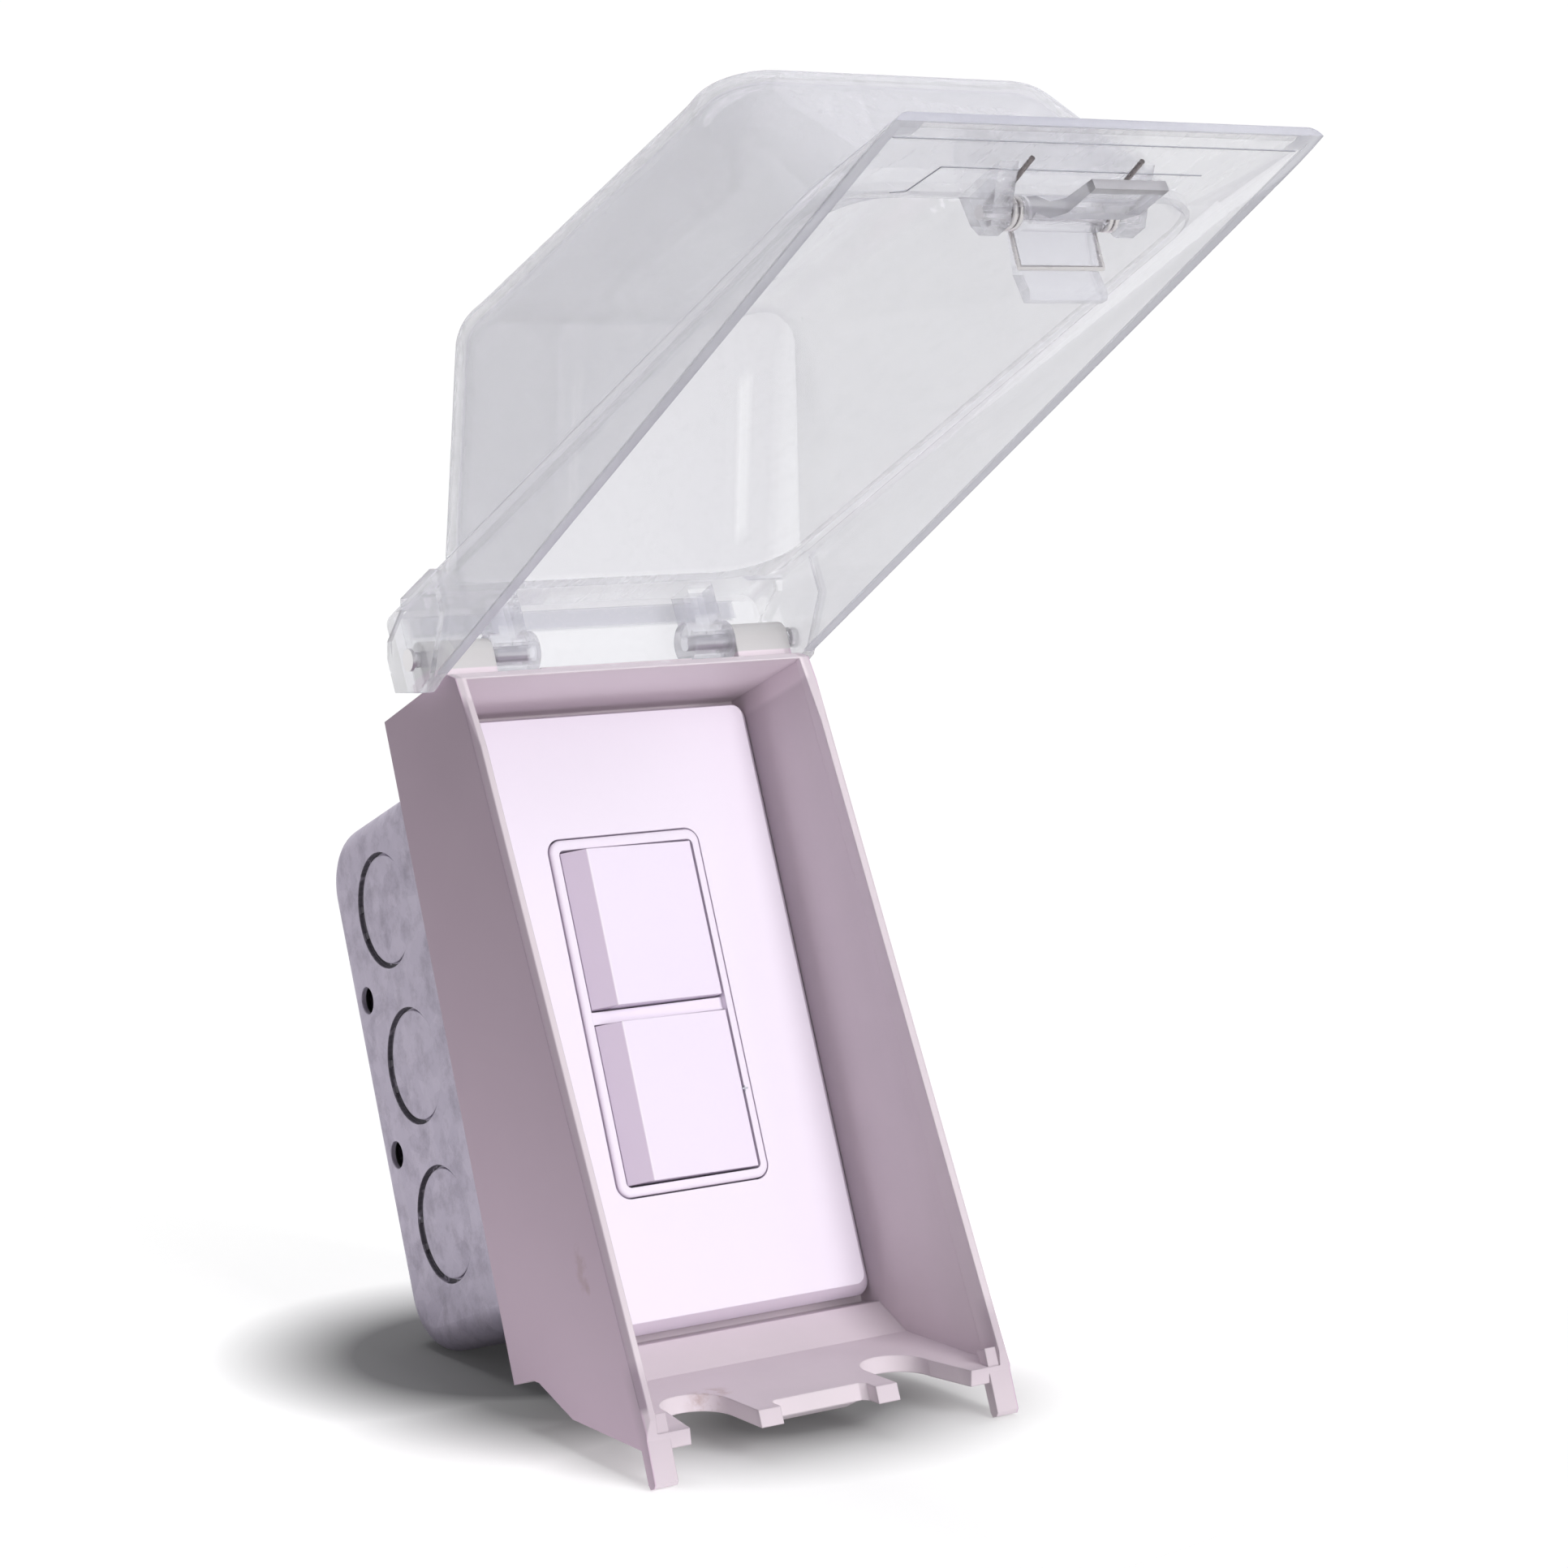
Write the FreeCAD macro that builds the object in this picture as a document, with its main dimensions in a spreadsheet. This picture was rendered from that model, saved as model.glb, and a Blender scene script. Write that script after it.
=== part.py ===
import FreeCAD, Part
import math
import os
import re
import Sketcher

# Outdoor weatherproof switch: a hinged clear cover over a two-rocker switch on a steel wall box.
# X is to the right seen from the front, Y runs back into the wall and Z is up. The origin is the
# middle of the wall plate, in the plane of the cover frame's back rim. Sizes are in millimetres
# and degrees, and a cut runs a whole number of millimetres past each face that it opens.

App = FreeCAD
DOC = App.newDocument("OutdoorSwitch")
SHEET = DOC.addObject("Spreadsheet::Sheet", "Sizes")

SIZES = {
    # Cover frame
    "frame_half_width": 36.65,
    "frame_wall": 1.6,
    "frame_lip": 2.1,
    "rim_step": 0.2,
    "top_land": 0.3,
    "frame_top": 60.0,
    "frame_bottom": 61.0,
    "frame_front_top": 32.6,
    "frame_front_tilt": 5.45,
    "frame_front_from": 45.5,
    "frame_front_to": 73.1,
    "frame_top_depth": 27.1,
    "frame_nose_depth": 29.9,
    "frame_nose_drop": 1.6,
    "lip_chamfer": 0.9,
    "band_top": 2.7,
    "band_bottom": 5.0,
    "strip_back": 17.1,
    "strip_front": 23.4,
    "strip_rise": 1.6,
    "back_step_depth": 7.3,
    "back_shelf_near": 9.4,
    "back_shelf_drop": 0.9,
    "back_shelf_far": 19.0,
    "web_front": 3.2,
    "web_thickness": 2.0,
    "web_window_half_width": 18.2,
    "web_window_half_height": 37.0,
    "web_window_corner": 3.0,
    "web_floor_step": 1.5,
    # Sill, cable notches and prongs
    "sill_back": 9.0,
    "sill_back_drop": 58.8,
    "sill_crease": 15.8,
    "sill_crease_drop": 65.3,
    "sill_slope": 20.15,
    "sill_thickness": 2.8,
    "sill_front": 43.3,
    "sill_nose": 0.9,
    "notch_centre": 20.3,
    "notch_depth": 32.9,
    "notch_radius": 6.3,
    "notch_inner": 14.0,
    "notch_outer_back": 26.6,
    "notch_outer_front": 28.4,
    "notch_skew": 0.4,
    "notch_horn": 0.5,
    "recess_half_width": 9.6,
    "recess_depth": 38.0,
    "recess_corner": 1.0,
    "inner_horn_front": 41.6,
    "strike_half_width": 8.0,
    "strike_front": 37.0,
    "strike_back": 33.6,
    "strike_drop": 0.8,
    "strike_root": 1.0,
    "prong_width": 4.45,
    "prong_front": 43.1,
    "prong_back": 40.7,
    "prong_tip": 83.9,
    "prong_root": 1.0,
    "prong_taper": 0.3,
    "prong_heel": 0.4,
    # Hinge
    "pin_depth": 21.5,
    "pin_height": 65.0,
    "pin_radius": 1.4,
    "pin_clearance": 0.05,
    "pin_inner": 17.5,
    "pin_head": 0.6,
    "pin_head_rim": 0.6,
    "barrel_radius": 3.1,
    "barrel_inner": 25.1,
    "barrel_root": 0.5,
    "lug_inner": 16.1,
    "lug_outer": 24.8,
    "lug_radius": 3.9,
    "lug_pocket_clearance": 0.6,
    "lug_side_clearance": 0.3,
    "arm_inset": 1.6,
    "arm_half_depth": 3.2,
    # Lid, in its own frame: along it from the hinge and outwards from the wall
    "lid_open_tilt": 94.6,
    "lid_length": 170.7,
    "lid_wall": 1.9,
    "skirt_gap": 0.35,
    "skirt_wall": 2.0,
    "rim_start": 5.0,
    "rim_near": 5.5,
    "rim_far": 8.3268,
    "ledge_height": 9.5,
    "tray_top": 12.4,
    "tray_far_top": 11.9,
    "lip_reach": 24.7,
    "lip_edge_top": 9.7,
    "lip_edge_thickness": 1.6,
    "shoulder_round": 3.1,
    "flange_end": 7.8,
    "flange_lip": 1.5,
    "flange_lip_bottom": 7.4,
    "flange_thickness": 2.0,
    "flange_root": 6.0,
    "ear_stand": 1.0,
    "ear_reach": 14.4,
    "ear_top": 11.1,
    "ear_near": 1.5,
    "ear_bend": 0.4,
    "ear_bend_top": 9.4,
    "ear_back": 7.2,
    "ear_back_top": 6.5,
    "ear_rim": 3.0,
    "flange_toe": 8.7,
    "toe_top": 3.7,
    "toe_bottom": 2.7,
    "toe_drop": 6.3,
    "dome_base": 9.0,
    "dome_top": 60.0,
    "dome_set_in": 2.25,
    "dome_side_slope": 3.4,
    "dome_near": 2.1,
    "dome_near_slope": 29.3,
    "dome_far_reach": 20.3,
    "dome_far_slope": 34.6,
    "dome_corner": 13.0,
    "crown_height": 54.7,
    "crown_slope": 4.38,
    "crown_round": 9.0,
    # Latch
    "latch_pin_reach": 18.0,
    "latch_pin_out": 4.5,
    "latch_pin_radius": 1.1,
    "latch_pin_half_length": 14.3,
    "boss_inner": 10.7,
    "boss_outer": 14.1,
    "latch_half_width": 7.1,
    "tab_half_width": 6.64,
    "latch_tube_radius": 2.6,
    "hook_rise": 5.3,
    "hook_drop": 12.4,
    "tab_length": 16.9,
    "tab_drop": 5.4,
    "boss_reach": 3.6,
    "spring_wire_radius": 0.4,
    "spring_coil_radius": 2.2,
    "spring_side_gap": 0.12,
    "spring_pitch": 1.05,
    "spring_turns": 2.25,
    "spring_loop_rise": 2.75,
    "spring_loop_drop": 7.4,
    "spring_leg_reach": 9.8,
    "spring_leg_inset": 1.5,
    # Wall plate and its parts
    "plate_side_gap": 0.15,
    "plate_top_gap": 1.46,
    "plate_edge_depth": 6.9,
    "plate_front": 12.3,
    "plate_side_bevel": 3.9,
    "plate_end_bevel": 1.74,
    "plate_corner": 3.0,
    "plate_wall": 1.8,
    "plate_gap": 0.3,
    "subplate_gap": 0.1,
    "subplate_rim": 1.5,
    "subplate_inset": 1.6,
    "subplate_corner": 2.5,
    "inner_corner": 1.0,
    "screw_head_gap": 0.4,
    "insert_half_width": 15.57,
    "insert_top": 32.2,
    "insert_bottom": 33.3,
    "insert_front": 12.9,
    "insert_corner": 2.5,
    "insert_round": 0.7,
    "insert_border": 1.62,
    "insert_top_border": 2.0,
    "insert_bar_half": 1.15,
    "insert_bar_front": 11.4,
    "bar_height": 0.7,
    # Device
    "strap_half_width": 16.6,
    "strap_half_height": 53.0,
    "strap_thickness": 1.5,
    "strap_corner": 3.0,
    "strap_window_corner": 1.2,
    "screw_pitch": 83.3,
    "screw_hole": 2.1,
    "screw_radius": 1.7,
    "screw_fit": 0.02,
    "screw_head": 3.3,
    "screw_head_height": 1.7,
    "screw_slot": 0.9,
    "strap_screw_tip": 12.0,
    "subscrew_pitch": 96.9,
    "ground_screw_radius": 1.2,
    "ground_screw_side": 10.0,
    "ground_screw_drop": 35.0,
    "ground_nut_height": 1.6,
    "ground_nut_rim": 0.5,
    "housing_half_width": 16.2,
    "housing_half_height": 33.0,
    "housing_back": 26.0,
    "housing_wall": 2.0,
    "housing_floor": 2.0,
    "housing_cover": 2.0,
    "housing_corner": 1.5,
    "housing_room_corner": 0.8,
    "cradle_gap": 0.3,
    "cradle_front": 7.6,
    "cradle_wall": 1.5,
    "cradle_well_corner": 0.5,
    "post_front": 9.5,
    "post_half_width": 2.6,
    "post_thickness": 2.0,
    "rocker_left": 13.35,
    "rocker_right": 13.45,
    "rocker_length": 29.0,
    "rocker_upper_base": 0.8,
    "rocker_lower_base": 31.2,
    "rocker_pivot": 8.0,
    "rocker_back": 9.9,
    "rocker_low_edge": 12.1,
    "rocker_ridge": 14.5,
    "rocker_ridge_offset": 9.0,
    "rocker_right_edge": 12.9,
    "rocker_skin": 1.5,
    "rocker_pin_radius": 1.0,
    "rocker_boss_radius": 2.1,
    "rocker_boss_half": 3.0,
    "leg_half": 0.8,
    "leg_tip": 5.0,
    "leg_lean": 0.9,
    "arm_pivot": 19.0,
    "arm_half_height": 2.8,
    "arm_half_thickness": 0.5,
    "arm_pin_radius": 1.0,
    "arm_pin_half": 4.4,
    "fork_gap": 0.35,
    "fork_wall": 1.1,
    "fork_front": 3.2,
    "fork_root": 6.6,
    "fork_base": 1.0,
    "button_depth": 12.0,
    "button_face": 2.2,
    "button_radius": 1.6,
    "contact_gap": 1.05,
    "terminal_thickness": 1.1,
    "terminal_gap": 0.1,
    "terminal_screw_radius": 1.5,
    "terminal_screw_head": 3.0,
    "terminal_screw_reach": 13.2,
    "terminal_screw_offset": 3.4,
    "terminal_screw_height": 1.6,
    "terminal_half_height": 4.0,
    "terminal_tail": 7.0,
    "saddle_wall": 1.2,
    "contact_disc": 1.4,
    "contact_rim": 0.2,
    "contact_strip_set": 1.0,
    "saddle_side_gap": 0.4,
    "common_strip_depth": 21.5,
    # Wall box
    "box_half_width": 25.9,
    "box_top": 52.3,
    "box_bottom": 50.3,
    "box_depth": 60.0,
    "box_wall": 1.6,
    "box_end_round": 12.0,
    "box_side_round": 5.0,
    "knockout_radius": 11.1,
    "knockout_depth": 37.06,
    "knockout_middle": 2.94,
    "knockout_pitch": 30.37,
    "knockout_groove": 0.8,
    "knockout_shift": 0.65,
    "knockout_dish": 0.35,
    "knockout_step": 1.0,
    "knockout_tie": 1.3,
    "knockout_tie_offset": 2.6,
    "side_hole_radius": 2.65,
    "side_hole_depth": 51.5,
    "side_hole_upper": 19.0,
    "side_hole_lower": 11.4,
    "box_ground_side": 12.0,
    "box_ground_height": 8.0,
    "ear_tab_half_width": 6.0,
    "ear_tab_depth": 1.5,
    "ear_tab_set_back": 1.0,
    "ear_tab_reach": 4.5,
    "ear_tab_root": 0.5,
    "back_hole_radius": 2.4,
    "back_hole_pitch": 44.0,
    "gasket_thickness": 1.2,
    "gasket_inset": 0.4,
    "gasket_corner": 2.0,
}

for row, (name, number) in enumerate(SIZES.items(), start=1):
    SHEET.set(f"A{row}", name)
    SHEET.set(f"B{row}", str(number))
    SHEET.setAlias(f"B{row}", name)
DOC.recompute()

# Sizes of pieces that fit round or inside another, worked out from it
SKIRT = "(frame_half_width+skirt_gap+skirt_wall)"
EAR = "(frame_half_width+skirt_gap+skirt_wall+ear_stand)"
LIP_START = "(lid_length-lip_reach)"
DOME_FAR = "(lid_length-dome_far_reach)"
LATCH_ALONG = "(lid_length-latch_pin_reach)"
PLATE_WIDE = "(frame_half_width-frame_wall-plate_side_gap)"
PLATE_HIGH = "(frame_top-frame_wall-plate_top_gap)"
PRONG_INNER = "(frame_half_width-prong_width)"

WORD = re.compile(r"\b[a-z][a-z_]*[a-z]\b")


def bound(text):
    """Turn an expression in plain size names into one that reads the sheet."""
    return WORD.sub(lambda match: "Sizes." + match[0] if match[0] in SIZES else match[0], text)


def number(text):
    """Work out an expression of size names."""
    result = SHEET.evalExpression(bound(text))
    return float(getattr(result, "Value", result))


class Piece:
    """A body with sketches and features whose sizes are bound to the sheet."""

    # Role of the origin plane, sketch normal and its sign along the axis it crosses
    PLANES = {"X": ("YZ_Plane", 1), "Y": ("XZ_Plane", -1), "Z": ("XY_Plane", 1)}

    def __init__(self, label):
        self.body = DOC.addObject("PartDesign::Body", label)
        self.body.Label = label
        self.label = label
        self.count = 0
        self.volume = 0.0

    def name(self, kind):
        """Name the next sketch or feature of the piece."""
        self.count += 1
        return f"{self.label}_{kind}_{self.count}"

    def sketch(self, axis, place="0"):
        """Add a sketch across an axis, at a place along it."""
        role, sign = self.PLANES[axis]
        sketch = self.body.newObject("Sketcher::SketchObject", self.name("sketch"))
        plane = [part for part in self.body.Origin.OriginFeatures if part.Role == role][0]
        sketch.AttachmentSupport = (plane, [""])
        sketch.MapMode = "FlatFace"
        offset = f"({place})" if sign > 0 else f"-({place})"
        sketch.setExpression(".AttachmentOffset.Base.z", bound(offset))
        return sketch

    def bind(self, sketch, kind, geometry, point, text):
        """Hold one coordinate of a point, or a radius, at an expression's value."""
        parts = (kind, geometry) if point is None else (kind, geometry, point)
        index = sketch.addConstraint(Sketcher.Constraint(*parts, number(text)))
        sketch.setExpression(f"Constraints[{index}]", bound(text))

    def outline(self, sketch, points):
        """Draw a closed outline through points given as pairs of expressions."""
        places = [App.Vector(number(u), number(v), 0) for u, v in points]
        first = sketch.GeometryCount
        for start, end in zip(places, places[1:] + places[:1]):
            sketch.addGeometry(Part.LineSegment(start, end))
        total = len(points)
        for index in range(total):
            following = first + (index + 1) % total
            sketch.addConstraint(Sketcher.Constraint("Coincident", first + index, 2, following, 1))
        for index, (u, v) in enumerate(points):
            self.bind(sketch, "DistanceX", first + index, 1, u)
            self.bind(sketch, "DistanceY", first + index, 1, v)

    def circle(self, sketch, u, v, radius):
        """Draw a circle with its centre and radius bound."""
        centre = App.Vector(number(u), number(v), 0)
        index = sketch.addGeometry(Part.Circle(centre, App.Vector(0, 0, 1), number(radius)))
        self.bind(sketch, "Radius", index, None, radius)
        self.bind(sketch, "DistanceX", index, 3, u)
        self.bind(sketch, "DistanceY", index, 3, v)

    def rounded(self, sketch, left, right, low, high, radius):
        """Draw a rectangle with round corners."""
        a, b, c, d = (number(side) for side in (left, right, low, high))
        r = number(radius)
        corners = [(b - r, d - r, 0), (a + r, d - r, 90), (a + r, c + r, 180), (b - r, c + r, 270)]
        ends = []
        for u, v, start in corners:
            circle = Part.Circle(App.Vector(u, v, 0), App.Vector(0, 0, 1), r)
            arc = Part.ArcOfCircle(circle, math.radians(start), math.radians(start + 90))
            ends.append((sketch.addGeometry(arc), arc))
        for place, (index, arc) in enumerate(ends):
            after, arc_after = ends[(place + 1) % 4]
            line = sketch.addGeometry(Part.LineSegment(arc.EndPoint, arc_after.StartPoint))
            sketch.addConstraint(Sketcher.Constraint("Tangent", index, 2, line, 1))
            sketch.addConstraint(Sketcher.Constraint("Tangent", line, 2, after, 1))
            if place:
                sketch.addConstraint(Sketcher.Constraint("Equal", ends[0][0], index))
        self.bind(sketch, "Radius", ends[0][0], None, radius)
        for index, u, v in ((0, right, high), (2, left, low)):
            shift = f"-({radius})" if index == 0 else f"+({radius})"
            self.bind(sketch, "DistanceX", ends[index][0], 3, f"({u}){shift}")
            self.bind(sketch, "DistanceY", ends[index][0], 3, f"({v}){shift}")
        for line in (ends[0][0] + 4, ends[2][0] + 4):
            sketch.addConstraint(Sketcher.Constraint("Horizontal", line))

    def run(self, sketch, length, cut=False):
        """Pad or pocket a sketch along its normal."""
        kind = "Pocket" if cut else "Pad"
        feature = self.body.newObject("PartDesign::" + kind, self.name(kind.lower()))
        feature.Profile = sketch
        feature.setExpression("Length", bound(length))
        if cut:
            feature.Reversed = True
        self.settle(feature, cut)
        return feature

    def settle(self, feature, cut=False):
        """Build a feature and make sure that it added or removed something."""
        before = self.volume
        DOC.recompute()
        self.volume = self.body.Shape.Volume
        moved = before - self.volume if cut else self.volume - before
        if moved < 1e-6:
            raise RuntimeError(f"{feature.Name} changes nothing")

    def prism(self, axis, low, high, draw, cut=False):
        """Run a drawn section from one place to another along an axis."""
        start = high if axis == "Y" else low
        sketch = self.sketch(axis, start)
        draw(sketch)
        return self.run(sketch, f"({high})-({low})", cut)

    def block(self, axis, low, high, points, cut=False):
        """Run an outline along an axis."""
        return self.prism(axis, low, high, lambda sketch: self.outline(sketch, points), cut)

    def plain(self, box, cut=False):
        """A rectangular block: box is the low and high expressions of X, Y and Z."""
        (x0, x1), (y0, y1), (z0, z1) = box
        points = [(x0, z0), (x1, z0), (x1, z1), (x0, z1)]
        return self.block("Y", y0, y1, points, cut)

    def rod(self, axis, low, high, u, v, radius, cut=False):
        """Run a circle along an axis."""
        return self.prism(axis, low, high, lambda sketch: self.circle(sketch, u, v, radius), cut)

    def slab(self, axis, low, high, sides, radius, cut=False):
        """Run a rectangle with round corners along an axis."""
        return self.prism(axis, low, high, lambda sketch: self.rounded(sketch, *sides, radius), cut)

    def edges(self, test):
        """Names of the edges whose end points and middle all pass a test."""
        found = []
        for index, edge in enumerate(self.body.Shape.Edges, start=1):
            points = [vertex.Point for vertex in edge.Vertexes]
            points.append(edge.valueAt((edge.FirstParameter + edge.LastParameter) / 2))
            if all(test(point) for point in points):
                found.append(f"Edge{index}")
        return found

    def dress(self, kind, size, test):
        """Fillet or chamfer the edges that pass a test."""
        names = self.edges(test)
        if not names:
            raise RuntimeError(f"{self.label}: no edge for a {kind}")
        base = self.body.Tip
        feature = self.body.newObject("PartDesign::" + kind, self.name(kind.lower()))
        feature.Base = (base, names)
        feature.setExpression("Radius" if kind == "Fillet" else "Size", bound(size))
        DOC.recompute()
        self.volume = self.body.Shape.Volume
        return feature

    def loft(self, sketches):
        """Join sketches with straight sides."""
        feature = self.body.newObject("PartDesign::AdditiveLoft", self.name("loft"))
        feature.Profile = sketches[0]
        feature.Sections = sketches[1:]
        feature.Ruled = True
        self.settle(feature)
        return feature


MADE = []


def keep(feature, label):
    """Mark an object as a piece that is written out."""
    feature.Label = label
    MADE.append(feature)
    return feature


def front(height):
    """Depth of the slanted front plane at a height."""
    return f"-(frame_front_top+(frame_front_from-({height}))*tan(frame_front_tilt))"


def sill(depth):
    """Height of the sill's top at a depth, both in the frame's signs."""
    return f"-(sill_crease_drop+(({depth})-sill_crease)*tan(sill_slope))"


def both(make):
    """Make a feature on the right and its twin on the left."""
    make(lambda low, high: (low, high))
    make(lambda low, high: (f"-({high})", f"-({low})"))


def cover_frame():
    """The surround: a tray with a slanted front, a web with a window and the parts of its sill and hinge."""
    piece = Piece("cover_frame")
    sill_under = "sill_thickness/cos(sill_slope)"
    foot = "(sill_front-sill_nose)"
    outline = [
        ("0", "frame_top"),
        ("-strip_back", "frame_top+rim_step"),
        ("-strip_back", "frame_top+strip_rise"),
        ("-strip_front", "frame_top+strip_rise"),
        ("-strip_front-top_land", "frame_top+top_land"),
        ("-frame_top_depth", "frame_top+top_land"),
        ("-frame_nose_depth", "frame_top-frame_nose_drop+top_land"),
        (front("frame_front_from"), "frame_front_from"),
        (front("-frame_front_to"), "-frame_front_to"),
        ("-sill_front", sill("sill_front")),
        (f"-{foot}", f"{sill(foot)}-{sill_under}"),
        ("-prong_back", f"{sill('prong_back')}-{sill_under}"),
        ("-back_shelf_far", f"{sill('back_shelf_far')}-{sill_under}"),
        ("-back_shelf_near", "-frame_bottom-back_shelf_drop"),
        ("-back_step_depth", "-frame_bottom-rim_step"),
        ("0", "-frame_bottom"),
    ]
    half = "frame_half_width"
    piece.block("X", f"-{half}", half, outline)
    top = "frame_top-frame_wall"
    floor = [
        ("-web_front", "-frame_bottom+frame_wall+web_floor_step"),
        ("-sill_back", "-sill_back_drop"),
        ("-sill_crease", "-sill_crease_drop"),
    ]
    upper = f"{front(top)}+band_top"
    lower = f"{front('-frame_front_to')}+band_bottom"
    inner = [("-web_front", top), *floor, (lower, sill(f"-({lower})")), (upper, top)]
    room = f"{half}-frame_wall"
    piece.block("X", f"-({room})", room, inner, cut=True)
    ahead = "-sill_front-10"
    mouth = [(upper, top), (lower, sill(f"-({lower})")), (ahead, sill("sill_front+10")), (ahead, top)]
    opening = f"{half}-frame_lip"
    piece.block("X", f"-({opening})", opening, mouth, cut=True)
    bed = f"{half}-frame_wall"
    back = "-web_front+web_thickness"
    sides = [(f"-({bed})", bed), (back, "0"), ("-frame_bottom+frame_wall", top)]
    piece.plain(sides, cut=True)
    window = ("-web_window_half_width", "web_window_half_width",
              "-web_window_half_height", "web_window_half_height")
    piece.slab("Y", "-web_front", back, window, "web_window_corner", cut=True)
    for sign in ("", "-"):
        piece.rod("Y", "-web_front", back, "0", f"{sign}screw_pitch/2", "screw_hole", cut=True)
    frame_sill(piece)
    frame_hinge(piece)
    slope = math.radians(SIZES["frame_front_tilt"])
    reach = SIZES["frame_front_top"]

    def on_front(point):
        depth = reach + (SIZES["frame_front_from"] - point.z) * math.tan(slope)
        side = abs(abs(point.x) - SIZES["frame_half_width"]) < 0.01
        return side and abs(point.y + depth) < 0.02

    piece.dress("Chamfer", "lip_chamfer", on_front)
    keep(piece.body, "cover_frame")


def frame_sill(piece):
    """Cut the cable notches and the centre recess, and add the strike and the prongs."""
    low, high = "-prong_tip-5", "-sill_crease_drop"
    ahead = "-sill_front-10"

    def notch(side):
        inner, outer = side("notch_inner", "notch_outer_back")
        mouth = side("notch_inner", "notch_outer_front")
        if inner.startswith("-"):
            points = [(mouth[0], ahead), (mouth[1], ahead), (outer, "-notch_depth")]
            points += [(inner, "-notch_depth-notch_skew"), (mouth[0], "-sill_front")]
            centre = "-notch_centre"
        else:
            points = [(mouth[1], ahead), (mouth[0], ahead), (inner, "-notch_depth")]
            points += [(outer, "-notch_depth-notch_skew"), (mouth[1], "-sill_front")]
            centre = "notch_centre"
        piece.block("Z", low, high, points, cut=True)
        piece.rod("Z", low, high, centre, "-notch_depth", "notch_radius", cut=True)

    both(notch)
    shift = "recess_half_width"
    near = "-recess_depth-recess_corner"
    recess = [(f"-{shift}+recess_corner", "-recess_depth"), (f"-{shift}", near), (f"-{shift}", ahead)]
    recess += [(shift, ahead), (shift, near), (f"{shift}-recess_corner", "-recess_depth")]
    piece.block("Z", low, high, recess, cut=True)
    tips = [("-notch_inner-notch_horn", ahead), ("notch_inner+notch_horn", ahead)]
    tips += [("notch_inner+notch_horn", "-inner_horn_front")]
    tips += [("-notch_inner-notch_horn", "-inner_horn_front")]
    piece.block("Z", low, high, tips, cut=True)
    under = "sill_thickness/cos(sill_slope)"
    strike = [
        ("-strike_front", f"{sill('strike_front')}-strike_root"),
        ("-strike_back", f"{sill('strike_back')}-strike_root"),
        ("-strike_back", f"{sill('strike_front')}-{under}-strike_drop"),
        ("-strike_front", f"{sill('strike_front')}-{under}-strike_drop/2"),
    ]
    piece.block("X", "-strike_half_width", "strike_half_width", strike)
    prong = [
        ("-prong_front", "-frame_front_to+prong_root"),
        ("-prong_front+prong_taper", "-prong_tip+prong_taper*2"),
        ("-prong_front+prong_taper*3", "-prong_tip"),
        ("-prong_back-prong_heel", "-prong_tip"),
        ("-prong_back", "-prong_tip+prong_heel*2"),
        ("-prong_back", "-frame_front_to+prong_root"),
    ]
    both(lambda side: piece.block("X", *side(PRONG_INNER, "frame_half_width"), prong))


def frame_hinge(piece):
    """Add the two barrels on the top strip and bore them for the pins."""
    foot = [
        ("-pin_depth-barrel_radius", "pin_height"),
        ("-pin_depth-barrel_radius", "frame_top-barrel_root"),
        ("-pin_depth+barrel_radius", "frame_top-barrel_root"),
        ("-pin_depth+barrel_radius", "pin_height"),
    ]
    bore = "pin_radius+pin_clearance"
    pocket_floor = "pin_height-lug_radius-lug_pocket_clearance"
    pocket = [
        ("-strip_front-3", "frame_top+5"),
        ("-strip_front-3", pocket_floor),
        ("-strip_back+3", pocket_floor),
        ("-strip_back+3", "frame_top+5"),
    ]
    at = ("-pin_depth", "pin_height")
    room = ("lug_inner-lug_side_clearance", "barrel_inner")
    both(lambda side: piece.block("X", *side(*room), pocket, cut=True))
    both(lambda side: piece.block("X", *side("barrel_inner", "frame_half_width"), foot))
    both(lambda side: piece.rod("X", *side("barrel_inner", "frame_half_width"), *at, "barrel_radius"))
    both(lambda side: piece.rod("X", *side("barrel_inner-1", "frame_half_width+1"), *at, bore, cut=True))


def along(distance):
    """Local height of a place along the lid."""
    return f"-({distance})"


def out(distance):
    """Local depth of a place outwards from the wall."""
    return f"-({distance})"


def lid_point(distance, height):
    """Outline point of the lid seen from the side."""
    return out(height), along(distance)


def rim(distance):
    """Height of the skirt's rim at a place along the lid."""
    return f"(-rim_near+(({distance})-rim_start)*(rim_far+rim_near)/(lid_length-rim_start))"


def dome(label, inset):
    """The dome's form, or its core when it is inset by the wall."""
    piece = Piece(label)
    slant = f"({inset})/cos(dome_near_slope)"
    sketches = []
    for height in ("dome_base", "dome_top"):
        rise = f"(({height})-dome_base)"
        half = f"({SKIRT}-dome_set_in-{rise}*tan(dome_side_slope)-({inset}))"
        near = f"(dome_near+{rise}*tan(dome_near_slope)+{slant})"
        far = f"({DOME_FAR}-{rise}*tan(dome_far_slope)-{slant})"
        sketch = piece.sketch("Y", out(height))
        piece.rounded(sketch, f"-{half}", half, f"-{far}", f"-{near}", f"dome_corner-({inset})")
        sketches.append(sketch)
    piece.loft(sketches)
    reach = "dome_top+5"
    crown = [
        (out(f"crown_height-({inset})"), "0"),
        (out(f"crown_height-({inset})-lid_length*tan(crown_slope)"), "-lid_length"),
        (out(reach), "-lid_length"),
        (out(reach), "0"),
    ]
    piece.block("X", f"-{EAR}", EAR, crown, cut=True)
    slope = math.tan(math.radians(SIZES["crown_slope"]))
    height = SIZES["crown_height"] - number(inset)
    piece.dress("Fillet", f"crown_round-({inset})", lambda p: abs(-p.y - height - p.z * slope) < 0.05)
    return piece


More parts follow.
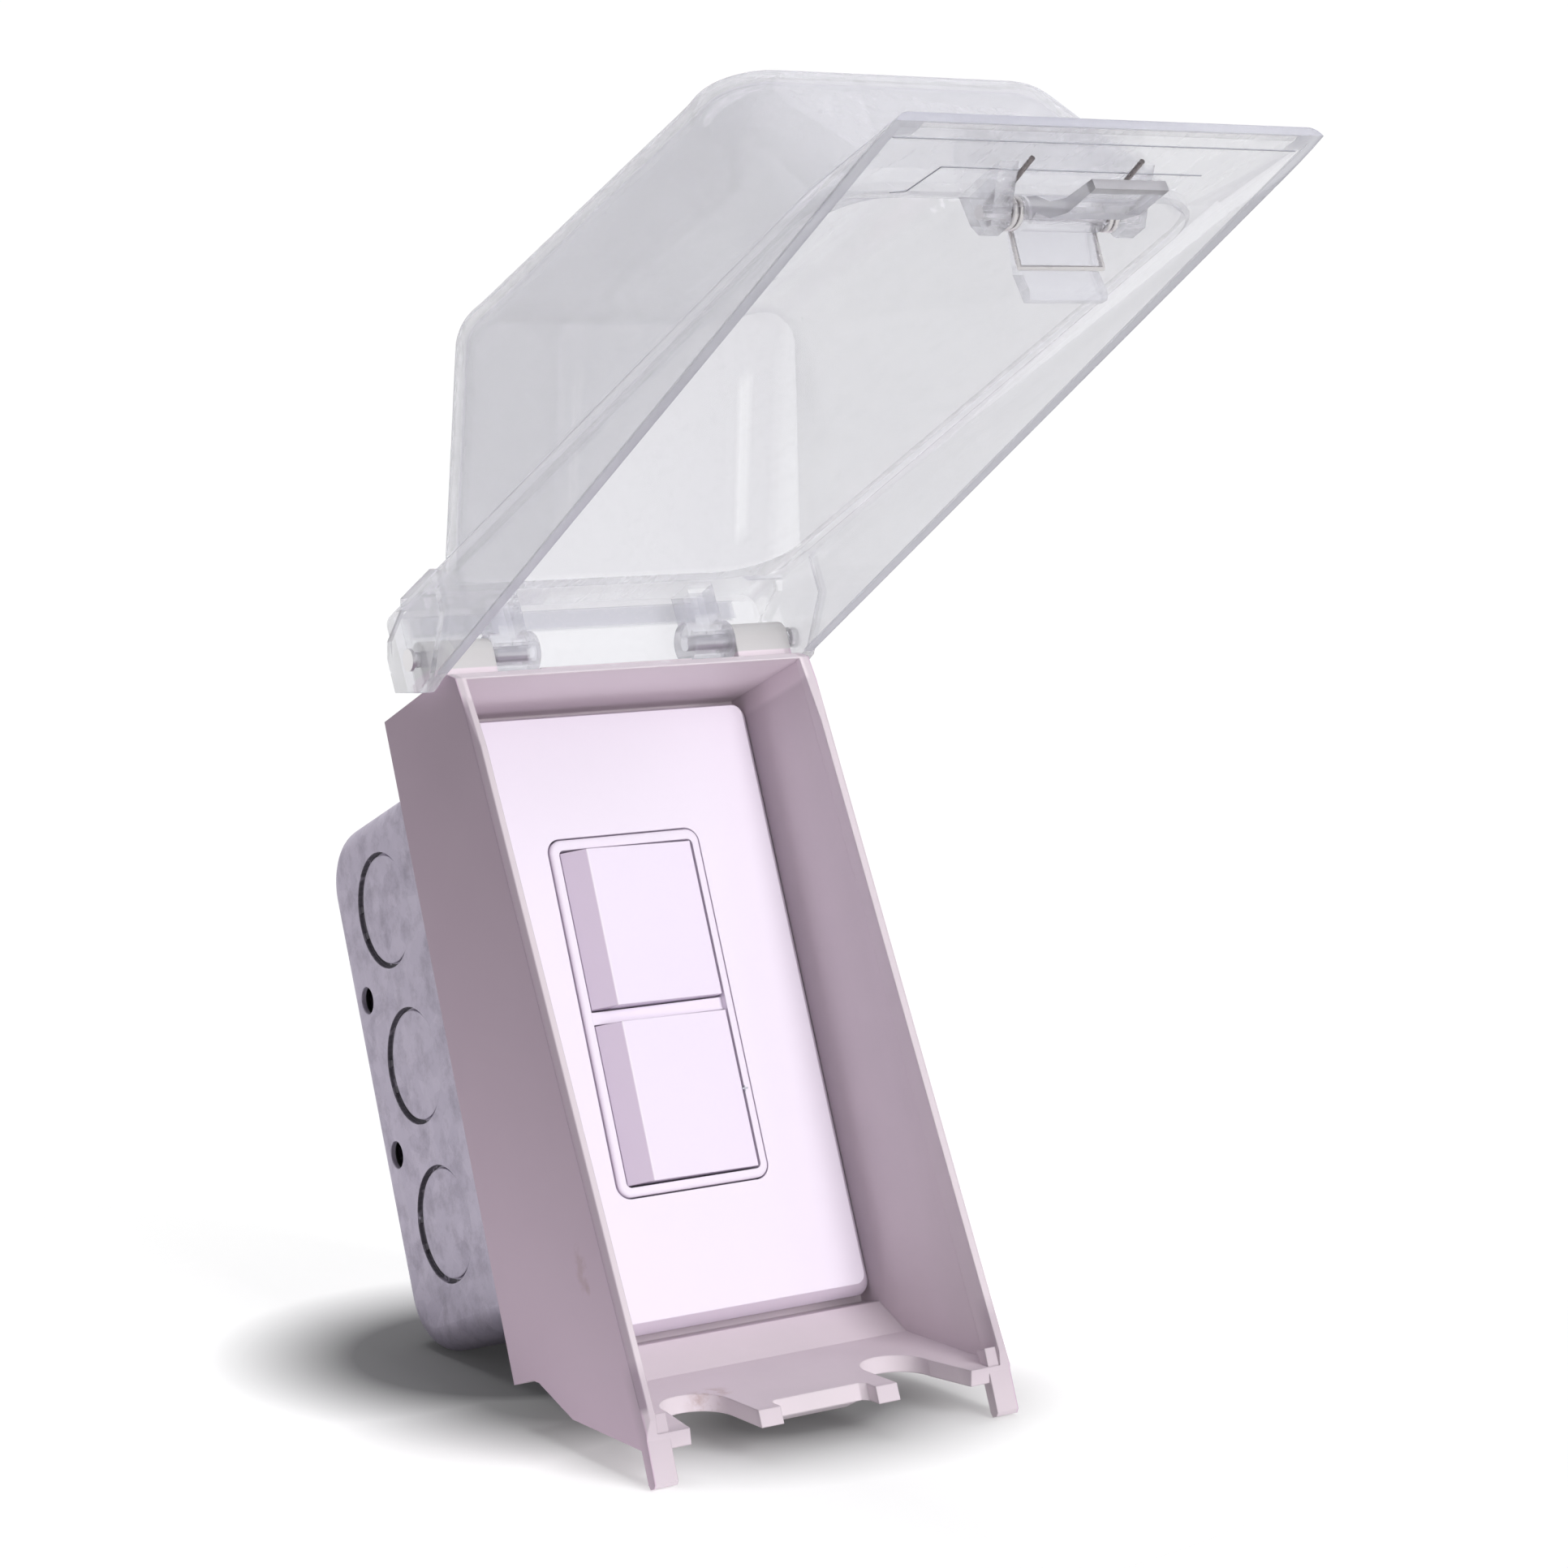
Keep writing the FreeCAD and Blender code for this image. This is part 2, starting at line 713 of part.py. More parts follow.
def lid_tray():
    """Skirt, ledge, far lip and hinge flange before they are hollowed."""
    piece = Piece("lid_tray")
    ends = [
        lid_point("-flange_end", "tray_top"),
        lid_point("-flange_end", "flange_lip_bottom"),
        lid_point("-flange_toe", "toe_top"),
        lid_point("-flange_toe", "-toe_bottom"),
        lid_point("0", "-toe_drop"),
        lid_point("rim_start", rim("rim_start")),
        lid_point("lid_length", rim("lid_length")),
        lid_point("lid_length", "lip_edge_top"),
        lid_point(LIP_START, "tray_far_top"),
    ]
    piece.block("X", f"-{SKIRT}", SKIRT, ends)
    far = number(LIP_START)
    wide = number(SKIRT)

    def shoulder(point):
        high = -point.y > SIZES["tray_far_top"] - 0.05
        return high and abs(abs(point.x) - wide) < 0.01 and -point.z < far + 0.1

    piece.dress("Fillet", "shoulder_round", shoulder)
    return piece


def lid_tray_core():
    """The room under the ledge that the cover frame enters."""
    piece = Piece("lid_tray_core")
    deep = "-toe_drop-10"
    room = [
        lid_point("-flange_end+flange_lip", deep),
        lid_point("-flange_end+flange_lip", "tray_top-flange_thickness"),
        lid_point("flange_root", "tray_top-flange_thickness"),
        lid_point("flange_root", "ledge_height"),
        lid_point(LIP_START, "ledge_height"),
        lid_point("lid_length+0.1", "lip_edge_top-lip_edge_thickness"),
        lid_point("lid_length+0.1", deep),
    ]
    half = f"{SKIRT}-skirt_wall"
    piece.block("X", f"-({half})", half, room)
    return piece


def lid_fittings():
    """Ears, hinge lugs with their arms and latch bosses."""
    piece = Piece("lid_fittings")
    ear = [
        lid_point("ear_reach", "ear_top"),
        lid_point("ear_near", "ear_top"),
        lid_point("ear_bend", "ear_bend_top"),
        lid_point("-ear_back", "ear_back_top"),
        lid_point("-flange_toe", "toe_top"),
        lid_point("-flange_toe", "-toe_bottom"),
        lid_point("0", "-toe_drop"),
        lid_point("rim_start", rim("rim_start")),
        lid_point("ear_reach", "ear_rim"),
    ]
    inner = f"{SKIRT}-skirt_wall"
    both(lambda side: piece.block("X", *side(inner, EAR), ear))
    arm = [
        lid_point("-arm_half_depth", "0"),
        lid_point("-arm_half_depth", "tray_top-flange_thickness/2"),
        lid_point("arm_half_depth", "tray_top-flange_thickness/2"),
        lid_point("arm_half_depth", "0"),
    ]
    lug = "lug_inner", "lug_outer"
    both(lambda side: piece.block("X", *side("lug_inner+arm_inset", "lug_outer-arm_inset"), arm))
    both(lambda side: piece.rod("X", *side(*lug), "0", "0", "lug_radius"))
    seat = "ledge_height-lid_wall/4"
    boss = [
        lid_point(f"{LATCH_ALONG}-boss_reach", seat),
        lid_point(f"{LATCH_ALONG}-boss_reach*0.8", "latch_pin_out-boss_reach*0.2"),
        lid_point(f"{LATCH_ALONG}-boss_reach*0.45", "latch_pin_out-boss_reach*0.8"),
        lid_point(f"{LATCH_ALONG}+boss_reach*0.45", "latch_pin_out-boss_reach*0.8"),
        lid_point(f"{LATCH_ALONG}+boss_reach", "latch_pin_out-boss_reach*0.1"),
        lid_point(f"{LATCH_ALONG}+boss_reach*2.2", seat),
    ]
    both(lambda side: piece.block("X", *side("boss_inner", "boss_outer"), boss))
    return piece


def lid_bores():
    """Bores for the hinge pins and for the latch pin."""
    piece = Piece("lid_bores")
    fit = "pin_radius+pin_clearance"
    both(lambda side: piece.rod("X", *side("lug_inner-1", f"{EAR}+1"), "0", "0", fit))
    place = out("latch_pin_out"), along(LATCH_ALONG)
    reach = "latch_pin_half_length+1"
    piece.rod("X", f"-({reach})", reach, *place, "latch_pin_radius+pin_clearance")
    return piece


def join(kind, label, parts):
    """A boolean of whole bodies."""
    feature = DOC.addObject("Part::" + kind, label)
    if kind == "Cut":
        feature.Base, feature.Tool = parts
    else:
        feature.Shapes = parts
    DOC.recompute()
    return feature


def swing(feature):
    """Set a piece that is drawn in the lid's frame on the hinge, as far open as it stands."""
    feature.Placement = App.Placement(App.Vector(0, 0, 0), App.Rotation(App.Vector(1, 0, 0), -1))
    feature.setExpression(".Placement.Base.y", bound("-pin_depth"))
    feature.setExpression(".Placement.Base.z", bound("pin_height"))
    feature.setExpression(".Placement.Rotation.Angle", bound("-lid_open_tilt"))


def lid():
    """The clear lid: a shell with ears, lugs and bosses, bored for its pins and hung on the hinge."""
    form = join("MultiFuse", "lid_form", [lid_tray().body, dome("lid_dome", "0").body])
    room = join("MultiFuse", "lid_room", [lid_tray_core().body, dome("lid_dome_core", "lid_wall").body])
    shell = join("Cut", "lid_shell", (form, room))
    whole = join("MultiFuse", "lid_whole", [shell, lid_fittings().body])
    bored = join("Cut", "lid_bored", (whole, lid_bores().body))
    swing(bored)
    keep(bored, "lid")


def hinge_pins():
    """A headed pin through each ear, lug and barrel."""
    for name, sign in (("hinge_pin_left", "-"), ("hinge_pin_right", "")):
        piece = Piece(name)
        low, high = ("pin_inner", EAR)
        ends = (low, high) if not sign else (f"-{high}", f"-{low}")
        piece.rod("X", *ends, "0", "0", "pin_radius")
        head = (high, f"{high}+pin_head") if not sign else (f"-({high}+pin_head)", f"-{high}")
        piece.rod("X", *head, "0", "0", "pin_radius+pin_head_rim")
        swing(piece.body)
        keep(piece.body, name)


def latch():
    """The hook with its thumb tab, and the pin that it turns on."""
    piece = Piece("latch")
    place = (out("latch_pin_out"), along(LATCH_ALONG))
    half = "latch_half_width"

    def hook_point(rise, drop):
        return lid_point(f"{LATCH_ALONG}-hook_rise*{rise}", f"latch_pin_out-hook_drop*{drop}")

    def tab_point(reach, drop):
        return lid_point(f"{LATCH_ALONG}+tab_length*{reach}", f"latch_pin_out-tab_drop*{drop}")

    piece.rod("X", f"-{half}", half, *place, "latch_tube_radius")
    hook = [
        hook_point(0.74, 0.1),
        hook_point(1, 0.58),
        hook_point(0.89, 0.98),
        hook_point(0.6, 1),
        hook_point(0.49, 0.92),
        hook_point(0.6, 0.6),
        hook_point(0.3, 0.16),
        hook_point(0, 0),
        lid_point(f"{LATCH_ALONG}-hook_rise*0.23", "latch_pin_out+latch_tube_radius*0.85"),
    ]
    piece.block("X", f"-{half}", half, hook)
    tab = [
        lid_point(LATCH_ALONG, "latch_pin_out+latch_tube_radius*0.96"),
        tab_point(0.25, -0.11),
        tab_point(0.41, 0.35),
        tab_point(0.61, 0.59),
        tab_point(0.99, 0.7),
        tab_point(1, 1),
        tab_point(0.57, 0.98),
        tab_point(0.34, 0.74),
        tab_point(0.19, 0.3),
        tab_point(0, 0.41),
    ]
    piece.block("X", "-tab_half_width", "tab_half_width", tab)
    bore = "latch_pin_radius+pin_clearance"
    piece.rod("X", f"-{half}-1", f"{half}+1", *place, bore, cut=True)
    swing(piece.body)
    keep(piece.body, "latch")
    shaft = Piece("latch_pin")
    end = "latch_pin_half_length"
    shaft.rod("X", f"-{end}", end, *place, "latch_pin_radius")
    swing(shaft.body)
    keep(shaft.body, "latch_pin")


def latch_spring():
    """The double torsion spring: coils beside the hook, free legs and the loop across the hook."""
    wire = number("spring_wire_radius")
    coil = number("spring_coil_radius")
    pin_along = number(LATCH_ALONG)
    pin_out = number("latch_pin_out")
    start = number("latch_half_width+spring_side_gap+spring_wire_radius")
    width = number("spring_pitch*spring_turns")
    loop = (pin_along - number("spring_loop_rise"), pin_out - number("spring_loop_drop"))
    foot = (pin_along + number("spring_leg_reach"), number("ledge_height-spring_leg_inset"))

    def place(across, distance, height):
        return App.Vector(across, -height, -distance)

    def straight(begin, end):
        return Part.makeCylinder(wire, (end - begin).Length, begin, end - begin)

    helix = Part.makeHelix(number("spring_pitch"), width, coil)
    round_wire = Part.Wire(Part.makeCircle(wire, App.Vector(coil, 0, 0), App.Vector(0, 1, 0)))
    turns = Part.Wire(helix).makePipeShell([round_wire], True, True)
    across = App.Matrix(0, 0, 1, start, 0, -1, 0, -pin_out, 1, 0, 0, -pin_along)
    turns = turns.transformGeometry(across)
    corner = place(start, *loop)
    down = straight(corner, place(start, pin_along - coil, pin_out))
    leg = straight(place(start + width, *foot), place(start + width, pin_along, pin_out + coil))
    knee = Part.makeSphere(wire, corner)
    right = down.fuse(knee)
    left = right.mirror(App.Vector(0, 0, 0), App.Vector(1, 0, 0))
    bar = straight(App.Vector(-corner.x, corner.y, corner.z), corner)
    loop_wire = bar.fuse([right, left])
    ends = [turns, leg]
    ends += [end.mirror(App.Vector(0, 0, 0), App.Vector(1, 0, 0)) for end in ends]
    spring = DOC.addObject("Part::Feature", "latch_spring")
    spring.Shape = Part.makeCompound([loop_wire, *ends])
    swing(spring)
    keep(spring, "latch_spring")


def wall_plates():
    """The plate with bevelled edges and the flat sub-plate that it clips onto."""
    plate = Piece("wall_plate_form")

    def frame_of(inset_x, inset_z):
        wide, high = f"({PLATE_WIDE}-{inset_x})", f"({PLATE_HIGH}-{inset_z})"
        return f"-{wide}", wide, f"-{high}", high

    rim_sketch = plate.sketch("Y", "-plate_edge_depth")
    plate.rounded(rim_sketch, *frame_of("0", "0"), "plate_corner")
    face_sketch = plate.sketch("Y", "-plate_front")
    plate.rounded(face_sketch, *frame_of("plate_side_bevel", "plate_end_bevel"), "plate_corner*0.67")
    plate.loft([rim_sketch, face_sketch])
    edge = "plate_wall*1.6"
    deep = ("(plate_side_bevel+plate_wall*0.6)", "(plate_end_bevel+plate_wall*0.6)")
    core = Piece("wall_plate_core")
    back_sketch = core.sketch("Y", "-plate_edge_depth+0.01")
    core.rounded(back_sketch, *frame_of(edge, edge), "plate_corner*0.67")
    deep_sketch = core.sketch("Y", "-plate_front+plate_wall")
    core.rounded(deep_sketch, *frame_of(*deep), "plate_corner*0.4")
    core.loft([back_sketch, deep_sketch])
    gap = "plate_gap"
    window = (f"-insert_half_width-{gap}", f"insert_half_width+{gap}",
              f"-insert_bottom-{gap}", f"insert_top+{gap}")
    plate.slab("Y", "-plate_front-1", "-plate_edge_depth", window, "insert_corner+plate_gap", cut=True)
    keep(join("Cut", "wall_plate_shell", (plate.body, core.body)), "wall_plate")
    sub = Piece("sub_plate")
    sides = frame_of("subplate_inset", "subplate_inset")
    back = "-web_front-strap_thickness"
    face_depth = "-plate_edge_depth+subplate_gap"
    sub.slab("Y", face_depth, back, sides, "subplate_corner")
    sub.slab("Y", face_depth, back, window, "insert_corner+plate_gap", cut=True)
    for sign in ("", "-"):
        height = f"{sign}subscrew_pitch/2"
        sub.rod("Y", face_depth, back, "0", height, "screw_hole", cut=True)
        sub.rod("Y", face_depth, back, "0", f"{sign}screw_pitch/2", "screw_head+screw_head_gap", cut=True)
    rim_back = "-web_front-subplate_gap"

    def rim_outline(sketch):
        sub.rounded(sketch, *sides, "subplate_corner")
        inner = [f"{side}{sign}subplate_rim" for side, sign in zip(sides, "+-+-")]
        sub.rounded(sketch, *inner, "inner_corner")

    sub.prism("Y", back, rim_back, rim_outline)
    keep(sub.body, "sub_plate")


def insert_frame():
    """The narrow frame round the rockers with the bar between them."""
    piece = Piece("insert_frame")
    seat = "-web_front-strap_thickness"
    sides = ("-insert_half_width", "insert_half_width", "-insert_bottom", "insert_top")
    piece.slab("Y", "-insert_front", seat, sides, "insert_corner")
    border = "insert_border"
    room = (f"-insert_half_width+{border}", f"insert_half_width-{border}",
            f"-insert_bottom+{border}", "insert_top-insert_top_border")
    piece.slab("Y", "-insert_front-1", seat, room, "inner_corner", cut=True)
    bar = [("-insert_half_width+inner_corner", "insert_half_width-inner_corner"),
           ("-insert_bar_front", "-cradle_front-cradle_gap"),
           ("-bar_height-insert_bar_half", "-bar_height+insert_bar_half")]
    piece.plain(bar)
    straight = SIZES["insert_half_width"] - SIZES["insert_corner"] - 0.11
    piece.dress("Fillet", "insert_round", lambda p: abs(p.y + SIZES["insert_front"]) < 0.01
                and abs(p.x) > straight and outer_edge(p))
    keep(piece.body, "insert_frame")


def outer_edge(point):
    """True on the insert frame's outer outline and false on its inner one."""
    inner_x = SIZES["insert_half_width"] - SIZES["insert_border"] + 0.05
    inner_top = SIZES["insert_top"] - SIZES["insert_top_border"] + 0.05
    inner_low = SIZES["insert_bottom"] - SIZES["insert_border"] + 0.05
    return abs(point.x) > inner_x or point.z > inner_top or point.z < -inner_low


def mounting_strap():
    """The steel strap that carries the switch across the box."""
    piece = Piece("mounting_strap")
    back = "-web_front"
    face = "-web_front-strap_thickness"
    sides = ("-strap_half_width", "strap_half_width", "-strap_half_height", "strap_half_height")
    piece.slab("Y", face, back, sides, "strap_corner")
    window = [f"{side}{sign}cradle_gap" for side, sign in zip(cradle_sides(), "-+-+")]
    piece.slab("Y", face, back, window, "strap_window_corner", cut=True)
    for sign in ("", "-"):
        piece.rod("Y", face, back, "0", f"{sign}screw_pitch/2", "screw_hole", cut=True)
        piece.rod("Y", face, back, "0", f"{sign}subscrew_pitch/2", "screw_radius", cut=True)
    ground = ("-ground_screw_side", "-ground_screw_drop")
    piece.rod("Y", face, back, *ground, "ground_screw_radius", cut=True)
    keep(piece.body, "mounting_strap")


def cradle_sides():
    """Outline of the housing's front cradle, inside the insert frame."""
    border = "(insert_border+cradle_gap)"
    return [f"-insert_half_width+{border}", f"insert_half_width-{border}",
            f"-insert_bottom+{border}", "insert_top-(insert_top_border+cradle_gap)"]


def screw(piece, x, z, head, tip):
    """A flat-headed screw along Y from its head to its tip, with a slot across the head."""
    piece.rod("Y", f"{head}-screw_head_height", head, x, z, "screw_head")
    piece.rod("Y", head, tip, x, z, "screw_radius-screw_fit")
    slot = [(f"{x}-screw_head-1", f"{x}+screw_head+1"),
            (f"{head}-screw_head_height-1", f"{head}-screw_head_height/2"),
            (f"{z}-screw_slot/2", f"{z}+screw_slot/2")]
    piece.plain(slot, cut=True)


def group(label, bodies):
    """Like pieces that share one file."""
    compound = DOC.addObject("Part::Compound", label + "_group")
    compound.Links = bodies
    DOC.recompute()
    keep(compound, label)


def fasteners():
    """The screws of the strap, the sub-plate and the two ground terminals."""
    strap_face = "-web_front-strap_thickness"
    sets = {
        "strap_screws": ("screw_pitch/2", strap_face, "strap_screw_tip"),
        "sub_plate_screws": ("subscrew_pitch/2", "-plate_edge_depth+subplate_gap", "-web_front"),
    }
    for label, (height, head, tip) in sets.items():
        bodies = []
        for side, sign in (("upper", ""), ("lower", "-")):
            piece = Piece(f"{label}_{side}")
            screw(piece, "0", f"{sign}{height}", head, tip)
            bodies.append(piece.body)
        group(label, bodies)
    ground = Piece("ground_screw")
    at = ("-ground_screw_side", "-ground_screw_drop")
    ground.rod("Y", strap_face, "-web_front", *at, "ground_screw_radius-screw_fit")
    nut = "ground_screw_radius+ground_nut_rim"
    ground.rod("Y", "-web_front", "-web_front+ground_nut_height", *at, nut)
    keep(ground.body, "ground_screw")
    bond = Piece("box_ground_screw")
    at = ("box_ground_side", "box_ground_height")
    inside = "box_depth-box_wall"
    bond.rod("Y", inside, "box_depth", *at, "screw_radius-screw_fit")
    bond.rod("Y", f"{inside}-screw_head_height", inside, *at, "screw_head")
    slot = [("box_ground_side-screw_head-1", "box_ground_side+screw_head+1"),
            (f"{inside}-screw_head_height-1", f"{inside}-screw_head_height/2"),
            ("box_ground_height-screw_slot/2", "box_ground_height+screw_slot/2")]
    bond.plain(slot, cut=True)
    keep(bond.body, "box_ground_screw")


def wall_box():
    """A drawn steel box, open to the front, with three knockouts and two holes on each long side."""
    piece = Piece("wall_box")
    profile = ("-box_end_round", "box_depth", "-box_bottom", "box_top")
    piece.slab("X", "-box_half_width", "box_half_width", profile, "box_end_round")
    ahead = [("-box_half_width-1", "box_half_width+1"), ("-box_end_round-1", "0")]
    piece.plain([*ahead, ("-box_bottom-1", "box_top+1")], cut=True)

    def round_the_side(point):
        side = abs(abs(point.x) - SIZES["box_half_width"]) < 0.01
        return side and (point.y > 0.01 or abs(point.z) > SIZES["box_bottom"] - 0.01)

    piece.dress("Fillet", "box_side_round", round_the_side)
    face = [f"Face{index}" for index, part in enumerate(piece.body.Shape.Faces, start=1)
            if abs(part.CenterOfMass.y) < 0.01]
    block = piece.body.Tip
    shell = piece.body.newObject("PartDesign::Thickness", piece.name("shell"))
    shell.Base = (block, face)
    shell.setExpression("Value", bound("box_wall"))
    shell.Reversed = True
    DOC.recompute()
    piece.volume = piece.body.Shape.Volume
    heights = [f"knockout_middle+{place}" for place in ("knockout_pitch", "0", "-knockout_pitch")]

    def discs(sketch):
        for height in heights:
            piece.circle(sketch, "knockout_depth", height, "knockout_radius")

    def crescents(sketch):
        discs(sketch)
        for height in heights:
            inner = "knockout_radius-knockout_groove"
            piece.circle(sketch, "knockout_depth-knockout_shift", height, inner)

    def ties(sketch):
        near = "knockout_depth+knockout_radius-knockout_groove*2.2"
        far = "knockout_depth+knockout_radius+knockout_shift/2"
        for height in heights:
            for offset in ("knockout_tie_offset", "-knockout_tie_offset"):
                low = f"{height}+{offset}-knockout_tie/2"
                high = f"{height}+{offset}+knockout_tie/2"
                piece.outline(sketch, [(near, low), (far, low), (far, high), (near, high)])

    def knockouts(side):
        above = "box_half_width+1"
        piece.prism("X", *side("box_half_width-knockout_dish", above), discs, cut=True)
        piece.prism("X", *side("box_half_width-knockout_step", above), crescents, cut=True)
        ends = side("box_half_width-knockout_step-knockout_dish/2", "box_half_width-knockout_dish")
        piece.prism("X", *ends, ties)

    both(knockouts)

    def holes(side):
        ends = side("box_half_width-box_wall-1", "box_half_width+1")
        for height in ("side_hole_upper", "-side_hole_lower"):
            piece.rod("X", *ends, "side_hole_depth", height, "side_hole_radius", cut=True)

    both(holes)
    for sign in ("", "-"):
        height = f"{sign}back_hole_pitch/2"
        piece.rod("Y", "box_depth-box_wall-1", "box_depth+1", "0", height, "back_hole_radius", cut=True)
    upper = ("screw_pitch/2-ear_tab_reach", "box_top-ear_tab_root")
    lower = ("-box_bottom+ear_tab_root", "-screw_pitch/2+ear_tab_reach")
    for height in (upper, lower):
        depth = ("ear_tab_set_back", "ear_tab_set_back+ear_tab_depth")
        piece.plain([("-ear_tab_half_width", "ear_tab_half_width"), depth, height])
    for sign in ("", "-"):
        height = f"{sign}screw_pitch/2"
        piece.rod("Y", "-1", "8", "0", height, "screw_radius", cut=True)
    at = ("box_ground_side", "box_ground_height")
    piece.rod("Y", "box_depth-box_wall-1", "box_depth+1", *at, "screw_radius", cut=True)
    keep(piece.body, "wall_box")


def wall_gasket():
    """The foam gasket between the web and the box."""
    piece = Piece("wall_gasket")
    inset = "(frame_wall+gasket_inset)"
    sides = (f"-frame_half_width+{inset}", f"frame_half_width-{inset}",
             f"-frame_bottom+{inset}", f"frame_top-{inset}")
    piece.slab("Y", "-gasket_thickness", "0", sides, "gasket_corner")
    window = ("-web_window_half_width", "web_window_half_width",
              "-web_window_half_height", "web_window_half_height")
    piece.slab("Y", "-gasket_thickness", "0", window, "web_window_corner", cut=True)
    for sign in ("", "-"):
        piece.rod("Y", "-gasket_thickness", "0", "0", f"{sign}screw_pitch/2", "screw_hole", cut=True)
    keep(piece.body, "wall_gasket")


LEVELS = {"upper": "rocker_upper_base", "lower": "(-rocker_lower_base)"}


def middle(level):
    """Height of a rocker's middle."""
    return f"({LEVELS[level]}+rocker_length/2)"


def rocker(level):
    """A hollow rocker with its slanted press facet, pivot boss and the leg that works the arm."""
    piece = Piece(f"rocker_{level}")
    base, centre = LEVELS[level], middle(level)
    top = f"{base}+rocker_length"
    section = [
        ("-rocker_left", "-rocker_back"),
        ("-rocker_left", "-rocker_low_edge"),
        ("-rocker_ridge_offset", "-rocker_ridge"),
        ("rocker_right", "-rocker_right_edge"),
        ("rocker_right", "-rocker_back"),
    ]
    piece.block("Z", base, top, section)
    skin = "rocker_skin"
    room = [
        (f"-rocker_left+{skin}", "-rocker_back"),
        (f"-rocker_left+{skin}", f"-rocker_low_edge+{skin}*0.6"),
        ("-rocker_ridge_offset", f"-rocker_ridge+{skin}"),
        (f"rocker_right-{skin}", f"-rocker_right_edge+{skin}"),
        (f"rocker_right-{skin}", "-rocker_back"),
    ]
    piece.block("Z", f"{base}+{skin}", f"{top}-{skin}", room, cut=True)
    ends = (f"{centre}-rocker_boss_half", f"{centre}+rocker_boss_half")
    neck = [
        ("-rocker_boss_radius", "-rocker_pivot"),
        ("-rocker_boss_radius", f"-rocker_ridge+{skin}*0.8"),
        ("rocker_boss_radius", f"-rocker_ridge+{skin}*0.8"),
        ("rocker_boss_radius", "-rocker_pivot"),
    ]
    piece.block("Z", *ends, neck)
    piece.rod("Z", *ends, "0", "-rocker_pivot", "rocker_boss_radius")
    leg = [
        ("-leg_half", "-rocker_pivot"),
        ("leg_half", "-rocker_pivot"),
        ("-leg_lean+leg_half", "leg_tip"),
        ("-leg_lean-leg_half", "leg_tip"),
    ]
    piece.block("Z", *ends, leg)
    bore = "rocker_pin_radius+pin_clearance"
    through = (f"{centre}-rocker_length", f"{centre}+rocker_length")
    piece.rod("Z", *through, "0", "-rocker_pivot", bore, cut=True)
    keep(piece.body, f"rocker_{level}")


def rocker_pins():
    """The pin under each rocker, held by two posts."""
    bodies = []
    for level in LEVELS:
        piece = Piece(f"rocker_pin_{level}")
        reach = "(rocker_boss_half+cradle_gap+post_thickness)"
        ends = (f"{middle(level)}-{reach}", f"{middle(level)}+{reach}")
        piece.rod("Z", *ends, "0", "-rocker_pivot", "rocker_pin_radius")
        bodies.append(piece.body)
    group("rocker_pins", bodies)


def switch_housing():
    """The housing behind the strap, with the cradle and posts that carry the rockers."""
    piece = Piece("switch_housing")
    sides = ("-housing_half_width", "housing_half_width", "-housing_half_height", "housing_half_height")
    end = "housing_back-housing_cover"
    piece.slab("Y", "-web_front", end, sides, "housing_corner")
    piece.slab("Y", "-cradle_front", "-web_front", cradle_sides(), "inner_corner")
    well = [f"{side}{sign}cradle_wall" for side, sign in zip(cradle_sides(), "+-+-")]
    piece.slab("Y", "-cradle_front", "-web_front", well, "cradle_well_corner", cut=True)
    wall = "housing_wall"
    room = [f"{side}{sign}{wall}" for side, sign in zip(sides, "+-+-")]
    piece.slab("Y", "-web_front+housing_floor", end, room, "housing_room_corner", cut=True)
    for level in LEVELS:
        housing_level(piece, middle(level))
    keep(piece.body, "switch_housing")
    cover = Piece("housing_back_cover")
    cover.slab("Y", end, "housing_back", sides, "housing_corner")
    keep(cover.body, "housing_back_cover")


def housing_level(piece, centre):
    """Posts, leg slot and terminal slots for one rocker."""
    inner = "(rocker_boss_half+cradle_gap)"
    outer = "(rocker_boss_half+cradle_gap+post_thickness)"
    below = (f"{centre}-{outer}", f"{centre}-{inner}")
    above = (f"{centre}+{inner}", f"{centre}+{outer}")
    for height in (below, above):
        piece.plain([("-post_half_width", "post_half_width"), ("-post_front", "-web_front"), height])
    span = (f"{centre}-{outer}", f"{centre}+{outer}")
    piece.rod("Z", *span, "0", "-rocker_pivot", "rocker_pin_radius+screw_fit", cut=True)
    slot = [("-leg_half*4-leg_lean", "leg_half*4+leg_lean"), ("-web_front", "-web_front+housing_floor"),
            (f"{centre}-{inner}", f"{centre}+{inner}")]
    piece.plain(slot, cut=True)
    wall = ("housing_half_width-housing_wall-0.5", "housing_half_width+0.5")
    thick = "terminal_thickness+terminal_gap"
    strip = "button_depth-terminal_thickness/2"
    right = [wall, (f"{strip}-terminal_gap", f"{strip}+{thick}"),
             (f"{centre}-arm_half_height-terminal_gap", f"{centre}+arm_half_height+terminal_gap")]
    piece.plain(right, cut=True)
    left_wall = (f"-({wall[1]})", f"-({wall[0]})")
    left = [left_wall, ("common_strip_depth-terminal_gap", f"common_strip_depth+{thick}"),
            (f"{centre}-arm_pin_half-terminal_gap", f"{centre}+arm_pin_half+terminal_gap")]
    piece.plain(left, cut=True)
    hole = "terminal_screw_radius+terminal_gap"
    piece.rod("X", *wall, "button_depth+terminal_screw_offset", centre, hole, cut=True)
    piece.rod("X", *left_wall, "common_strip_depth-terminal_screw_offset", centre, hole, cut=True)


